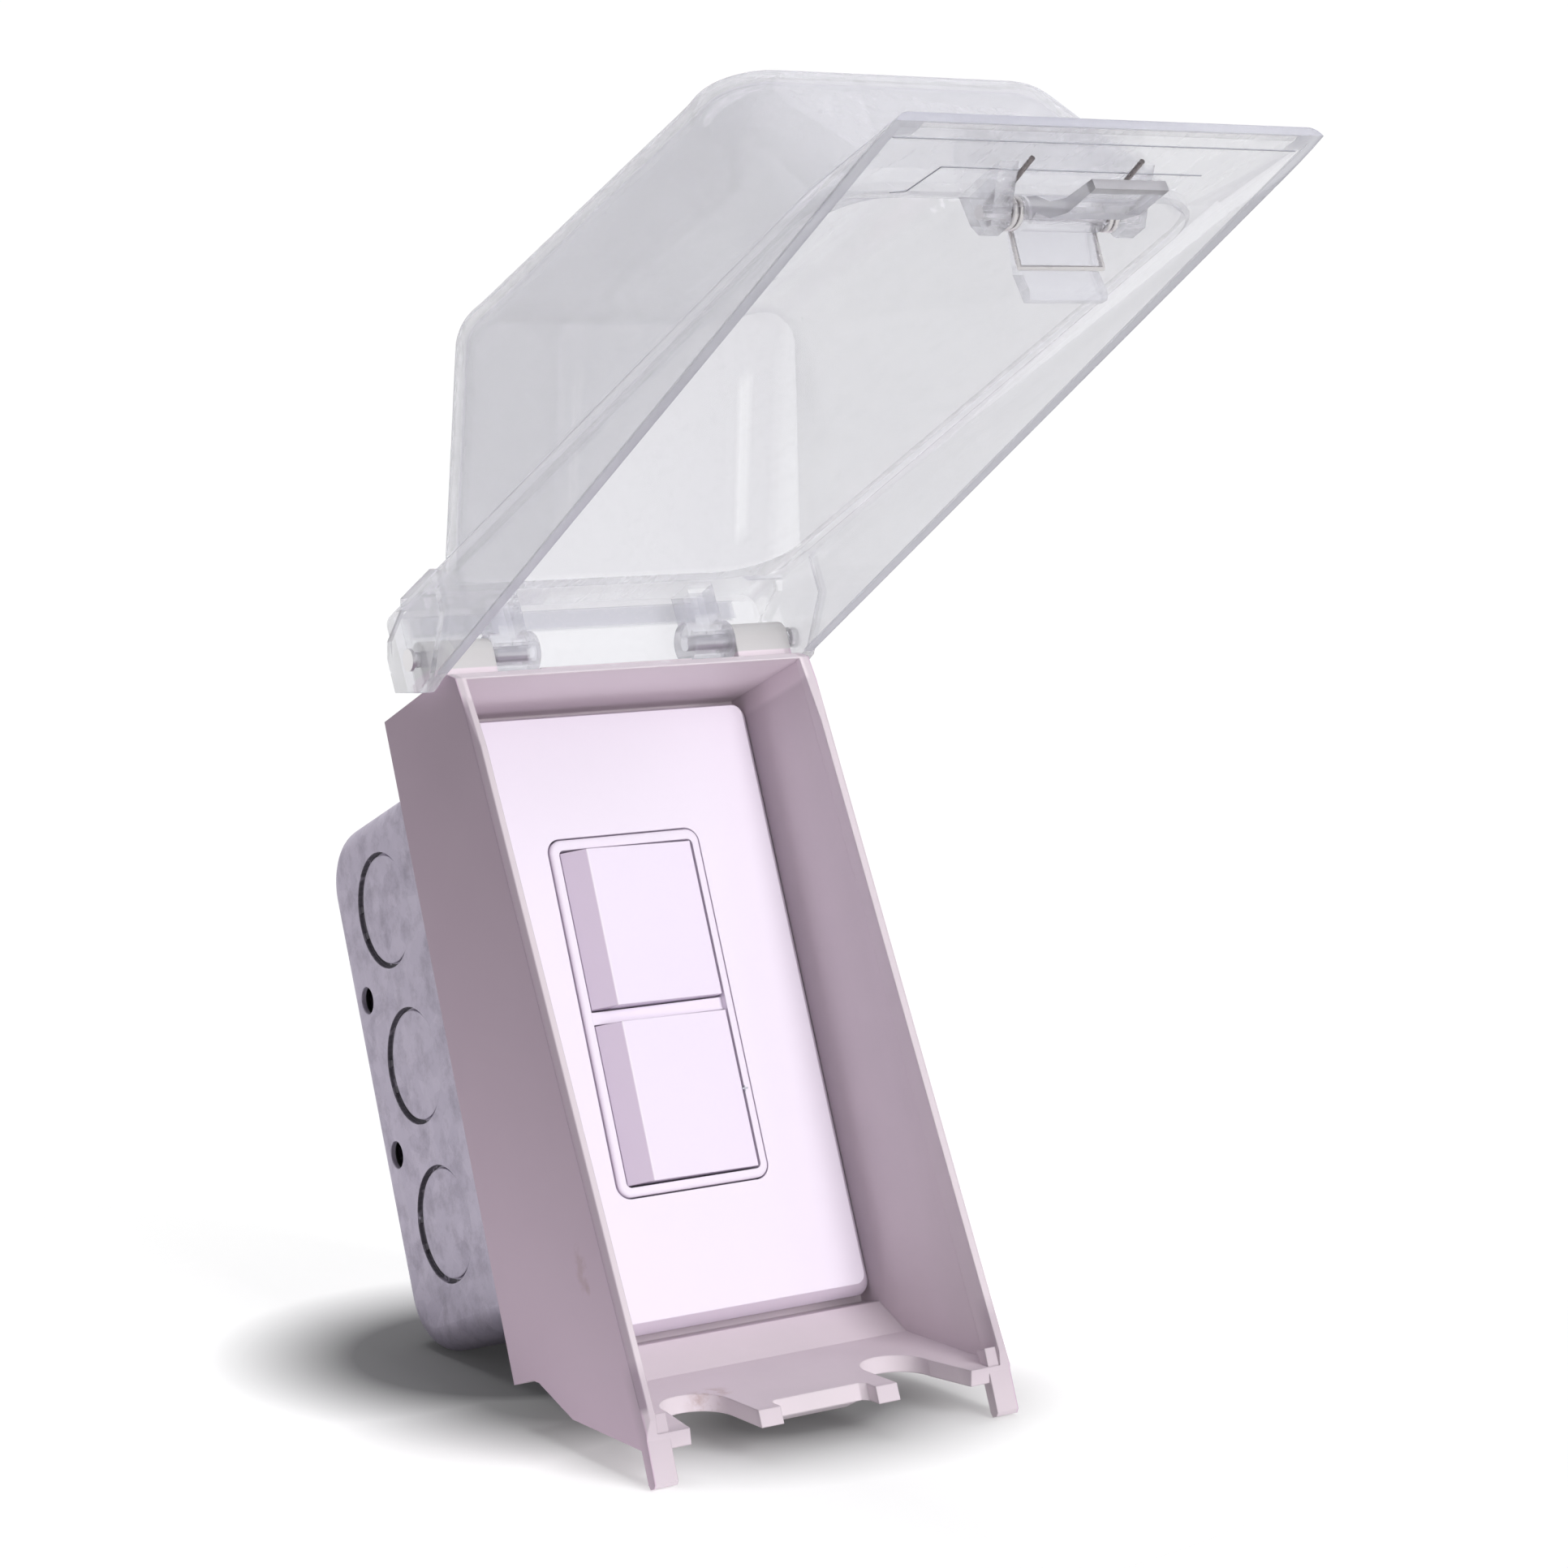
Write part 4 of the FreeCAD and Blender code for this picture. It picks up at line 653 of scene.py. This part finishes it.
@dataclass(frozen=True)
class Clear:
    """Clear polycarbonate with a milky veil and painted grey shade on its edges."""

    name: str
    tint: Colour = tone(241, 241, 246)
    haze: Colour = tone(240, 239, 247)
    second_haze: Colour = tone(231, 230, 240)
    # Painted shade: the grey painted on edges seen flatly and in the rim zone.
    edge: Colour = tone(196, 196, 210)
    smoke: Colour = tone(176, 174, 180)
    # Painted shade on the near wall.
    near: Colour = tone(211, 210, 217)
    near_share: float = 0.9
    bend: float = 1.36
    solidity: float = 0.55
    gleam: float = 0.25
    roughness: float = 0.04
    scuff_roughness: float = 0.08
    haze_roughness: float = 0.4
    grazing_blend: float = 0.5
    grazing_power: float = 5.0
    edge_gain: float = 1.5
    ripple: Pattern = Pattern(60, 2, 0.5)
    scuff: Pattern = Pattern(640, 4, 0.7, (1.0, 0.2, 1.0), (0.52, 0.78))
    cloud: Pattern = Pattern(30, 3, 0.5)
    relief: Relief = Relief(0.05, 0.0003)
    veil: Veil = Veil()

    def build(self) -> bpy.types.Material:
        """Make the material.

        Returns:
            The material.
        """
        graph = Graph(self.name)
        scuff = graph.patches(self.scuff)
        cloud = graph.noise(self.cloud)
        slope = graph.add("ShaderNodeLayerWeight", values={"Blend": self.grazing_blend})
        grazing = Wire(graph, slope.outputs["Facing"]) ** self.grazing_power
        zones = self.zones(graph)
        tint = graph.blend(zones.smoke, self.tint, self.smoke)
        # Painted shade on the near wall, held back along the painted highlight on its corner.
        near = zones.near * (self.near_share - zones.streak * self.near_share)
        tint = graph.blend(near, tint, self.near)
        glass = graph.add("ShaderNodeBsdfPrincipled", values={
            "Base Color": tint, "Roughness": self.roughness + scuff * self.scuff_roughness,
            "IOR": self.bend, "Alpha": self.solidity, "Transmission Weight": 1.0,
            "Specular IOR Level": self.gleam, "Normal": graph.bump(graph.noise(self.ripple), self.relief)})
        pale = graph.blend(cloud, self.haze, self.second_haze)
        # Painted grey shade on edges seen flatly and in the rim zone.
        pale = graph.blend(graph.clamp(grazing * self.edge_gain + zones.rim), pale, self.edge)
        pale = graph.blend(graph.clamp(zones.smoke + zones.speck), pale, self.smoke)
        milk = graph.add("ShaderNodeBsdfPrincipled",
                         values={"Base Color": pale, "Roughness": self.haze_roughness})
        share = self.milkiness(scuff, cloud, grazing, zones)
        factors = {0: graph.clamp(share), 1: glass.outputs[0], 2: milk.outputs[0]}
        mixed = graph.add("ShaderNodeMixShader", values=factors)
        graph.add("ShaderNodeOutputMaterial", values={"Surface": mixed.outputs[0]})
        return graph.material

    def milkiness(self, scuff: Wire, cloud: Wire, grazing: Wire, zones: Zones) -> Wire:
        """Add up the veil.

        Args:
            scuff: The scuffs.
            cloud: The cloudy noise.
            grazing: How flatly the surface is seen.
            zones: Where the piece looks other than plain.

        Returns:
            The milky share.
        """
        veil = self.veil
        share = veil.everywhere + scuff * veil.scuff + (cloud - NOISE_MIDDLE) * veil.cloud
        share = share + grazing * veil.grazing + zones.smoke * veil.smoke + zones.speck * veil.speck
        return share + zones.rim * veil.rim + zones.streak * veil.streak

    def zones(self, graph: Graph) -> Zones:
        """Give the zones of a plain piece, which has none."""
        return Zones()


@dataclass(frozen=True)
class LatchClear(Clear):
    """The latch's polycarbonate, greyer in its thumb tab and a little in the arm that carries it."""

    bend: float = 1.22
    solidity: float = 0.5
    tab_edge: Edge = (-188.9, 0.6)
    arm_edge: Edge = (-174.4, 1.0)
    arm_side: Edge = (6.4, 0.1)
    arm_share: float = 0.4

    def zones(self, graph: Graph) -> Zones:
        """Find the tab and the arm.

        Args:
            graph: The material's graph.

        Returns:
            The zones.
        """
        across, depth, _ = graph.axes()
        tab = graph.below(depth, self.tab_edge)
        arm = graph.above(abs(across), self.arm_side) * graph.below(depth, self.arm_edge)
        return Zones(smoke=graph.clamp(tab + arm * self.arm_share))


@dataclass(frozen=True)
class LidClear(Clear):
    """The lid's polycarbonate: painted grey shade on its thin ends and rim, a painted shadow on the hinge
    band, painted shade on the near wall with a painted highlight on its corner, and a speck.

    Places are millimetres across the lid, along it from the hinge and out from its closed plane.
    """

    spot: Spot = Spot((32.6, -58.6, 114.2), (0.7, 0.7, 0.7))
    # Where shade is painted on the rim's underside and the lip's end, and shadow on the hinge band.
    rim_start: float = -5.5
    rim_from: float = 5.0
    rim_slope: float = 0.0834
    rim_face: Edge = (0.5, 0.3)
    rim_along: Edge = (6.0, 1.0)
    rim_side: Edge = (33.5, 0.5)
    end_thickness: float = 0.5
    end_fade: float = 0.3
    band_along: Edge = (-5.6, 0.3)
    band_low: Edge = (6.9, 0.3)
    band_high: Edge = (10.9, 0.3)
    band_side: Edge = (33.0, 0.5)
    band_share: float = 0.7
    # Where shade is painted on the near wall, and a highlight along its corner.
    near_along: Edge = (40.0, 6.0)
    near_low: Edge = (11.5, 1.0)
    near_high: Edge = (52.5, 1.0)
    near_side: Edge = (34.2, 1.4)
    streak_across: Edge = (28.3, 0.9)
    streak_low: Edge = (16.0, 3.0)
    streak_high: Edge = (44.0, 3.0)

    def zones(self, graph: Graph) -> Zones:
        """Find where light and shade are painted: the rim's underside, the lip's end, the hinge band, the
        near wall and its corner.

        Args:
            graph: The material's graph.

        Returns:
            The zones.
        """
        across, _, _ = graph.axes()
        along, out = LID.along_and_out(graph)
        # Painted shade on the rim's underside and the lip's end.
        under = out - (along - self.rim_from * MM) * self.rim_slope - self.rim_start * MM
        rim = graph.below(under, self.rim_face) * graph.above(along, self.rim_along)
        rim = rim * graph.above(abs(across), self.rim_side)
        end = graph.above(along, (LID.length - self.end_thickness, self.end_fade))
        # Painted shadow on the hinge band.
        band = graph.below(along, self.band_along) * graph.above(out, self.band_low)
        band = band * graph.below(out, self.band_high) * graph.below(abs(across), self.band_side)
        # Painted shade on the near wall.
        near = graph.below(along, self.near_along) * graph.above(out, self.near_low)
        near = near * graph.below(out, self.near_high) * graph.below(abs(across), self.near_side)
        # Painted highlight along the near wall's corner.
        streak = graph.line(across, self.streak_across) * graph.above(out, self.streak_low)
        streak = near * streak * graph.below(out, self.streak_high)
        return Zones(speck=graph.spot(self.spot), rim=graph.clamp(rim + end + band * self.band_share),
                     near=near, streak=streak)


@dataclass(frozen=True)
class Galvanised:
    """Zinc-coated sheet steel with faint spangle, rubbed edges, grime, painted shadow in the knockout
    grooves and painted shade in the bores.
    """

    name: str = "galvanised_steel"
    light: Colour = tone(216, 207, 224)
    dark: Colour = tone(178, 170, 190)
    grime: Colour = tone(96, 90, 104)
    bright: Colour = tone(220, 214, 226)
    # Painted shadow in the knockout grooves.
    groove_painted_shadow: Colour = tone(34, 31, 38)
    # Painted shade inside the bores.
    bore_painted_shade: Colour = tone(12, 11, 13)
    spangle_scale: float = 260.0
    cloud: Pattern = Pattern(70, 5, 0.7)
    dirt: Pattern = Pattern(150, 6, 0.75, span=(0.46, 0.68))
    fine: Pattern = Pattern(1100, 4, 0.65)
    rub: Pattern = Pattern(300, 3, 0.6, (1.0, 1.0, 0.15), (0.58, 0.72))
    broken: Pattern = Pattern(330, 2, 0.5, span=(0.34, 0.42))
    spangle_share: float = 0.25
    cloud_share: float = 0.45
    fine_share: float = 0.2
    dirt_share: float = 0.3
    rub_share: float = 0.25
    broken_least: float = 0.25
    groove_share: float = 0.9
    roughness: float = 0.40
    cloud_roughness: float = 0.22
    dirt_roughness: float = 0.12
    metallic: float = 0.45
    spangle_height: float = 0.2
    fine_height: float = 0.6
    relief: Relief = Relief(0.35, 0.0002, 0.0004)
    disc_depth: float = 37.06
    disc_heights: Triple = (33.31, 2.94, -27.43)
    groove_outer: Edge = (11.2, 0.15)
    groove_inner: Edge = (10.6, 0.15)
    groove_shift: float = 1.3
    hole_across: float = 24.0
    hole_depth: float = 51.5
    hole_heights: Span = (19.0, -11.4)
    hole_reach: Triple = (1.8, 3.2, 3.2)
    hole_edge: float = 0.05

    def build(self) -> bpy.types.Material:
        """Make the material.

        Returns:
            The material.
        """
        graph = Graph(self.name)
        cells = graph.add("ShaderNodeTexVoronoi",
                          values={"Vector": graph.place, "Scale": self.spangle_scale})
        parts = graph.add("ShaderNodeSeparateColor", values={0: cells.outputs["Color"]})
        spangle = Wire(graph, parts.outputs[0])
        cloud = graph.noise(self.cloud)
        dirt = graph.patches(self.dirt)
        fine = graph.noise(self.fine)
        mottle = spangle * self.spangle_share + cloud * self.cloud_share + fine * self.fine_share
        base = graph.blend(mottle, self.dark, self.light)
        base = graph.blend(dirt * self.dirt_share, base, self.grime)
        base = graph.blend(graph.patches(self.rub) * self.rub_share, base, self.bright)
        broken = graph.patches(self.broken, self.broken_least)
        # Painted shadow in the knockout grooves.
        base = graph.blend(self.grooves(graph) * broken * self.groove_share, base, self.groove_painted_shadow)
        # Painted shade inside the bores.
        for height in self.hole_heights:
            for side in (-1, 1):
                centre = (side * self.hole_across, self.hole_depth, height)
                bore = graph.spot(Spot(centre, self.hole_reach, self.hole_edge))
                base = graph.blend(bore, base, self.bore_painted_shade)
        rough = self.roughness + cloud * self.cloud_roughness + dirt * self.dirt_roughness
        relief = spangle * self.spangle_height + fine * self.fine_height + cloud
        return graph.finish({"Base Color": base, "Roughness": rough, "Metallic": self.metallic,
                             "Normal": graph.bump(relief, self.relief)})

    def grooves(self, graph: Graph) -> Wire:
        """Find the crescent grooves beside the knockouts, where shadow is painted.

        Args:
            graph: The material's graph.

        Returns:
            1 in the grooves.
        """
        _, depth, height = graph.axes()
        total: Wire | float = 0.0
        for middle in self.disc_heights:
            rise = (height - middle * MM) ** 2
            outer = graph.maths("SQRT", (depth - self.disc_depth * MM) ** 2 + rise)
            inner = graph.maths("SQRT", (depth - (self.disc_depth - self.groove_shift) * MM) ** 2 + rise)
            crescent = graph.below(outer, self.groove_outer) * graph.above(inner, self.groove_inner)
            total = crescent + total
        return graph.clamp(total)


@dataclass(frozen=True)
class Metal:
    """Bare metal with fine marks."""

    name: str
    shade: Colour
    roughness: float = 0.22
    dim: float = 0.7
    dim_share: float = 0.5
    lines: Pattern = Pattern(900, 3, 0.6, (0.1, 1.0, 1.0))
    cloud: Pattern = Pattern(200, 3, 0.6)
    line_roughness: float = 0.15
    relief: Relief = Relief(0.1, 0.00005)

    def build(self) -> bpy.types.Material:
        """Make the material.

        Returns:
            The material.
        """
        graph = Graph(self.name)
        lines = graph.noise(self.lines)
        red, green, blue = self.shade
        dimmed = (red * self.dim, green * self.dim, blue * self.dim)
        base = graph.blend(graph.noise(self.cloud) * self.dim_share, self.shade, dimmed)
        base = self.tarnished(graph, base)
        return graph.finish({"Base Color": base, "Roughness": self.roughness + lines * self.line_roughness,
                             "Metallic": 1.0, "Normal": graph.bump(lines, self.relief)})

    def tarnished(self, graph: Graph, base: Any) -> Any:
        """Give the colour as it is, because most pieces here aren't tarnished."""
        return base


@dataclass(frozen=True)
class SpringWire(Metal):
    """Spring wire, duller in the legs that press on the lid."""

    tarnish: Colour = tone(126, 120, 120)
    legs: Edge = (-176.3, 0.6)

    def tarnished(self, graph: Graph, base: Any) -> Any:
        """Dull the legs.

        Args:
            graph: The material's graph.
            base: The colour so far.

        Returns:
            The colour with dull legs.
        """
        _, depth, _ = graph.axes()
        return graph.blend(graph.below(depth, self.legs), base, self.tarnish)


@dataclass(frozen=True)
class Ground:
    """The pale floor, a patch that fades into the white surroundings, with a painted shadow under the
    object.
    """

    name: str = "pale_floor"
    shade: Colour = (0.92, 0.92, 0.92)
    second: Colour = (0.9, 0.9, 0.9)
    cloud: Pattern = Pattern(3, 2, 0.5)
    # Painted shadow: the dark colour and the spots under the object where it is painted.
    dark: Colour = (0.12, 0.12, 0.125)
    dark_share: float = 0.95
    far: Spot = Spot((-14.0, 45.0, -53.0), (57.0, 62.0, 70.0), 0.5, 0.93)
    sill: Spot = Spot((8.0, -20.0, -76.0), (56.0, 40.0, 42.0), 0.75, 0.85)
    side: Spot = Spot((-12.0, 14.0, -63.5), (56.0, 46.0, 60.0), 0.6, 0.8)
    patch: Spot = Spot((-14.0, 45.0, -53.0), (200.0, 200.0, 200.0), 0.6)
    glow: float = 0.36
    roughness: float = 0.9
    gleam: float = 0.1

    def build(self) -> bpy.types.Material:
        """Make the material.

        Returns:
            The material.
        """
        graph = Graph(self.name)
        # Painted shadow under the object; the floor's glow keeps it white elsewhere and is switched off in
        # the shadow.
        painted_shadow = graph.maths("MAXIMUM", graph.spot(self.far), graph.spot(self.sill))
        painted_shadow = graph.maths("MAXIMUM", painted_shadow, graph.spot(self.side))
        pale = graph.blend(graph.noise(self.cloud), self.shade, self.second)
        shade = graph.blend(painted_shadow * self.dark_share, pale, self.dark)
        light = graph.blend(painted_shadow, WHITE, BLACK)
        return graph.finish({"Base Color": shade, "Roughness": self.roughness,
                             "Specular IOR Level": self.gleam, "Emission Color": light,
                             "Emission Strength": self.glow, "Alpha": graph.spot(self.patch)})


class Finish(Enum):
    """The finishes that the CAD nodes and the fine pieces take."""

    PVC = "pvc"
    CLEAR = "clear"
    LATCH = "latch"
    PLATE = "plate"
    ROCKER = "rocker"
    STEEL = "steel"
    SPRING = "spring"
    LINE = "line"
    ZINC = "zinc"
    FOAM = "foam"
    HOUSING = "housing"
    BRASS = "brass"
    GREEN = "green"


RECIPES: dict[Finish, Any] = {
    Finish.PVC: Pvc(),
    Finish.CLEAR: LidClear("clear_polycarbonate"),
    Finish.LATCH: LatchClear("clear_latch"),
    Finish.PLATE: Plastic("plate_plastic", tone(244, 235, 248), tone(243, 234, 247),
                          roughness=0.28, coat=0.15),
    Finish.ROCKER: Plastic("rocker_plastic", tone(243, 233, 248), tone(240, 229, 246), coat=0.1, facet=0.6),
    Finish.STEEL: Metal("bright_steel", tone(226, 224, 226), roughness=0.16),
    Finish.SPRING: SpringWire("spring_steel", tone(214, 211, 212), roughness=0.2),
    Finish.LINE: Plastic("moulded_line", tone(196, 196, 207), tone(206, 206, 216), roughness=0.4),
    Finish.ZINC: Galvanised(),
    Finish.FOAM: Plastic("gasket_foam", tone(40, 40, 42), tone(30, 30, 32), roughness=0.9),
    Finish.HOUSING: Plastic("housing_plastic", tone(150, 146, 152), tone(142, 138, 144), roughness=0.5),
    Finish.BRASS: Metal("contact_brass", tone(200, 170, 105), roughness=0.3),
    Finish.GREEN: Metal("green_screw", tone(60, 130, 80), roughness=0.35),
}

NODE_FINISH: dict[Finish, tuple[str, ...]] = {
    Finish.PVC: ("cover_frame",),
    Finish.CLEAR: ("lid",),
    Finish.LATCH: ("latch",),
    Finish.PLATE: ("wall_plate", "sub_plate", "insert_frame"),
    Finish.ROCKER: ("rocker_upper", "rocker_lower"),
    Finish.STEEL: ("hinge_pin_left", "hinge_pin_right", "latch_pin", "strap_screws",
                   "sub_plate_screws", "rocker_pins"),
    Finish.SPRING: ("latch_spring",),
    Finish.ZINC: ("wall_box", "mounting_strap"),
    Finish.FOAM: ("wall_gasket",),
    Finish.HOUSING: ("switch_housing", "housing_back_cover"),
    Finish.BRASS: ("contact_arm_upper", "contact_arm_lower", "fixed_contact_upper", "fixed_contact_lower",
                   "common_terminal_upper", "common_terminal_lower", "terminal_screws"),
    Finish.GREEN: ("ground_screw", "box_ground_screw"),
}


@dataclass
class Wardrobe:
    """Builds each finish once and puts it on the CAD nodes."""

    nodes: dict[str, bpy.types.Object]
    made: dict[Finish, bpy.types.Material] = field(default_factory=dict)

    def material(self, finish: Finish) -> bpy.types.Material:
        """Give the material of a finish, making it at its first use.

        Args:
            finish: The finish.

        Returns:
            The material.
        """
        if finish not in self.made:
            self.made[finish] = RECIPES[finish].build()
        return self.made[finish]

    def dress(self) -> None:
        """Put every CAD node in its finish."""
        for finish, names in NODE_FINISH.items():
            for name in names:
                mesh = self.nodes[name].data
                mesh.materials.clear()
                mesh.materials.append(self.material(finish))
            LOG.info("finish %s on %s", finish.value, ", ".join(names))


@dataclass
class LidLines:
    """Thin moulded lines under the lid's lip: the fold before its end and the outline of the latch's pad.

    Places are millimetres across the lid and along it from the hinge.
    """

    lip_start: float = 146.0
    lip_start_height: float = 9.5
    lip_end_height: float = 8.1
    fold: float = 166.2
    fold_half_width: float = 36.4
    pad: tuple[Span, ...] = ((-26.4, 149.5), (-23.9, 150.1), (-22.8, 157.9), (25.0, 157.5))
    width: float = 0.2
    rise: float = 0.12

    def place(self, across: float, along: float) -> Vector:
        """Find a point on the lip's underside.

        Args:
            across: Distance to the right of the middle.
            along: Distance from the hinge.

        Returns:
            The point in metres.
        """
        share = (along - self.lip_start) / (LID.length - self.lip_start)
        height = self.lip_start_height + share * (self.lip_end_height - self.lip_start_height)
        hinge = Vector(LID.hinge) * MM
        return hinge + LID.turn() @ Vector((across, -height + self.rise / 2, -along)) * MM

    def strip(self, mesh: bmesh.types.BMesh, begin: Span, end: Span) -> None:
        """Add one straight line.

        Args:
            mesh: The mesh that takes it.
            begin: Its first point, across and along.
            end: Its last point, across and along.
        """
        start, stop = self.place(*begin), self.place(*end)
        forward = stop - start
        normal = LID.turn() @ Vector((0, -1, 0))
        side = normal.cross(forward.normalized()) * self.width * MM
        matrix = Matrix((forward, side, normal * self.rise * MM)).transposed().to_4x4()
        matrix.translation = (start + stop) / 2
        bmesh.ops.create_cube(mesh, size=1.0, matrix=matrix)

    def build(self, finish: bpy.types.Material) -> bpy.types.Object:
        """Make the lines as one piece that rides on the lid.

        Args:
            finish: Their material.

        Returns:
            The piece.
        """
        mesh = bmesh.new()
        self.strip(mesh, (-self.fold_half_width, self.fold), (self.fold_half_width, self.fold))
        for begin, end in zip(self.pad, self.pad[1:]):
            self.strip(mesh, begin, end)
        piece = as_piece("lid_lines", mesh, finish)
        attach(piece, "lid")
        return piece


@dataclass
class RockerNib:
    """The small peg that bridges the gap beside the lower rocker. Sizes are millimetres."""

    middle: Triple = (14.0, -12.8, -17.0)
    bar: Triple = (1.3, 0.5, 0.3)
    stem: Triple = (0.25, 0.45, 1.1)
    rounding: float = 0.06
    rounding_steps: int = 2

    def build(self, finish: bpy.types.Material) -> bpy.types.Object:
        """Make the peg and its short cross.

        Args:
            finish: Its material.

        Returns:
            The piece.
        """
        mesh = bmesh.new()
        middle = Matrix.Translation(Vector(self.middle) * MM)
        for size in (self.bar, self.stem):
            scale = Matrix.Diagonal((*(Vector(size) * MM), 1.0))
            bmesh.ops.create_cube(mesh, size=1.0, matrix=middle @ scale)
        bmesh.ops.bevel(mesh, geom=mesh.edges[:], offset=self.rounding * MM, segments=self.rounding_steps,
                        profile=0.5, affect="EDGES", material=-1)
        piece = as_piece("rocker_nib", mesh, finish)
        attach(piece, "base")
        return piece


def as_piece(name: str, mesh: bmesh.types.BMesh, finish: bpy.types.Material) -> bpy.types.Object:
    """Turn a mesh into an object in the scene.

    Args:
        name: The object's name.
        mesh: The mesh, which is freed.
        finish: Its material.

    Returns:
        The object, at the origin.
    """
    bmesh.ops.recalc_face_normals(mesh, faces=mesh.faces[:])
    data = bpy.data.meshes.new(name)
    mesh.to_mesh(data)
    mesh.free()
    data.materials.append(finish)
    piece = bpy.data.objects.new(name, data)
    bpy.context.scene.collection.objects.link(piece)
    LOG.info("piece %s with %d faces", name, len(data.polygons))
    return piece


@dataclass
class Camera:
    """The camera at the photograph's place and angle: its place in millimetres, and its right and down."""

    place: Triple = (-306.886, -539.903, -89.846)
    right: Triple = (0.84187602, -0.49704309, -0.21022115)
    down: Triple = (-0.07284376, 0.28131202, -0.9568476)
    lens: float = 78.329
    sensor: float = 36.0
    clip_near: float = 0.01
    clip_far: float = 20.0

    def build(self) -> bpy.types.Object:
        """Make the camera and set it as the scene's.

        Returns:
            The camera.
        """
        data = bpy.data.cameras.new("camera")
        data.lens = self.lens
        data.sensor_width = self.sensor
        data.sensor_fit = "HORIZONTAL"
        data.clip_start, data.clip_end = self.clip_near, self.clip_far
        camera = bpy.data.objects.new("camera", data)
        bpy.context.scene.collection.objects.link(camera)
        right, up = Vector(self.right), -Vector(self.down)
        back = right.cross(up).normalized()
        turn = Matrix((right, up, back)).transposed()
        camera.matrix_world = Matrix.Translation(Vector(self.place) * MM) @ turn.to_4x4()
        bpy.context.scene.camera = camera
        LOG.info("camera looks along %s", tuple(round(-value, 3) for value in back))
        return camera


@dataclass(frozen=True)
class Lamp:
    """A soft square light: its place and aim in metres, its power in watts and its side in metres."""

    name: str
    place: Triple
    aim: Triple
    power: float
    side: float

    def build(self) -> bpy.types.Object:
        """Hang the light, which shows neither in glossy faces nor through clear ones.

        Returns:
            The light.
        """
        data = bpy.data.lights.new(self.name, "AREA")
        data.energy, data.size = self.power, self.side
        lamp = bpy.data.objects.new(self.name, data)
        lamp.location = self.place
        facing = Vector(self.aim) - Vector(self.place)
        lamp.rotation_mode = "QUATERNION"
        lamp.rotation_quaternion = facing.to_track_quat("-Z", "Y")
        lamp.visible_glossy = False
        lamp.visible_transmission = False
        bpy.context.scene.collection.objects.link(lamp)
        return lamp


@dataclass
class Studio:
    """The floor under the leaning object, the white surroundings and the soft lights."""

    foot: Triple = (0.0, -40.6, -83.9)
    lean: float = 20.45
    half_width: float = 1.2
    ahead: float = 1.2
    behind: float = 0.35
    white: float = 1.02
    ambient: float = 0.2
    lamps: tuple[Lamp, ...] = (
        Lamp("key", (0.2, -1.3, 0.16), (0.0, -0.04, -0.02), 9.0, 0.6),
        Lamp("fill", (0.1, -1.0, -0.32), (0.0, -0.04, 0.02), 3.3, 0.4),
        Lamp("overhead", (0.05, 0.0, 1.3), (0.0, 0.0, -0.06), 9.0, 0.7),
    )

    def floor(self) -> bpy.types.Object:
        """Make the floor as one flat sheet, tilted as the object leans.

        Returns:
            The floor.
        """
        mesh = bmesh.new()
        bmesh.ops.create_grid(mesh, x_segments=1, y_segments=1, size=1.0)
        middle = (self.behind - self.ahead) / 2
        reach = (self.behind + self.ahead) / 2
        bmesh.ops.scale(mesh, vec=(self.half_width, reach, 1), verts=mesh.verts)
        bmesh.ops.translate(mesh, vec=(0, middle, 0), verts=mesh.verts)
        turn = Matrix.Rotation(math.radians(self.lean), 4, "X")
        foot = Matrix.Translation(Vector(self.foot) * MM)
        bmesh.ops.transform(mesh, matrix=foot @ turn, verts=mesh.verts)
        data = bpy.data.meshes.new("floor")
        mesh.to_mesh(data)
        mesh.free()
        floor = bpy.data.objects.new("floor", data)
        bpy.context.scene.collection.objects.link(floor)
        data.materials.append(Ground().build())
        return floor

    def surroundings(self) -> None:
        """Surround the scene with white that lights it gently."""
        world = bpy.data.worlds.new("white_room")
        world.use_nodes = True
        tree = world.node_tree
        glow = tree.nodes["Background"]
        glow.inputs["Color"].default_value = (*WHITE, 1)
        path = tree.nodes.new("ShaderNodeLightPath")
        dim = tree.nodes.new("ShaderNodeMath")
        dim.operation = "MULTIPLY_ADD"
        tree.links.new(path.outputs["Is Diffuse Ray"], dim.inputs[0])
        dim.inputs[1].default_value = self.ambient - self.white
        dim.inputs[2].default_value = self.white
        tree.links.new(dim.outputs[0], glow.inputs["Strength"])
        bpy.context.scene.world = world
        view = bpy.context.scene.view_settings
        view.view_transform = "Standard"
        view.look = "None"

    def build(self) -> None:
        """Make the floor, the surroundings and the lights."""
        self.floor()
        self.surroundings()
        for lamp in self.lamps:
            lamp.build()
        LOG.info("studio ready")


def main() -> None:
    """Build the scene in order and log when it is whole."""
    logging.basicConfig(level=logging.INFO, format="%(name)s: %(message)s")
    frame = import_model()
    Camera().build()
    Studio().build()
    wardrobe = Wardrobe(frame["nodes"])
    wardrobe.dress()
    LidLines().build(wardrobe.material(Finish.LINE))
    RockerNib().build(wardrobe.material(Finish.LINE))
    LOG.info("the scene is whole")


if __name__ == "__main__":
    main()
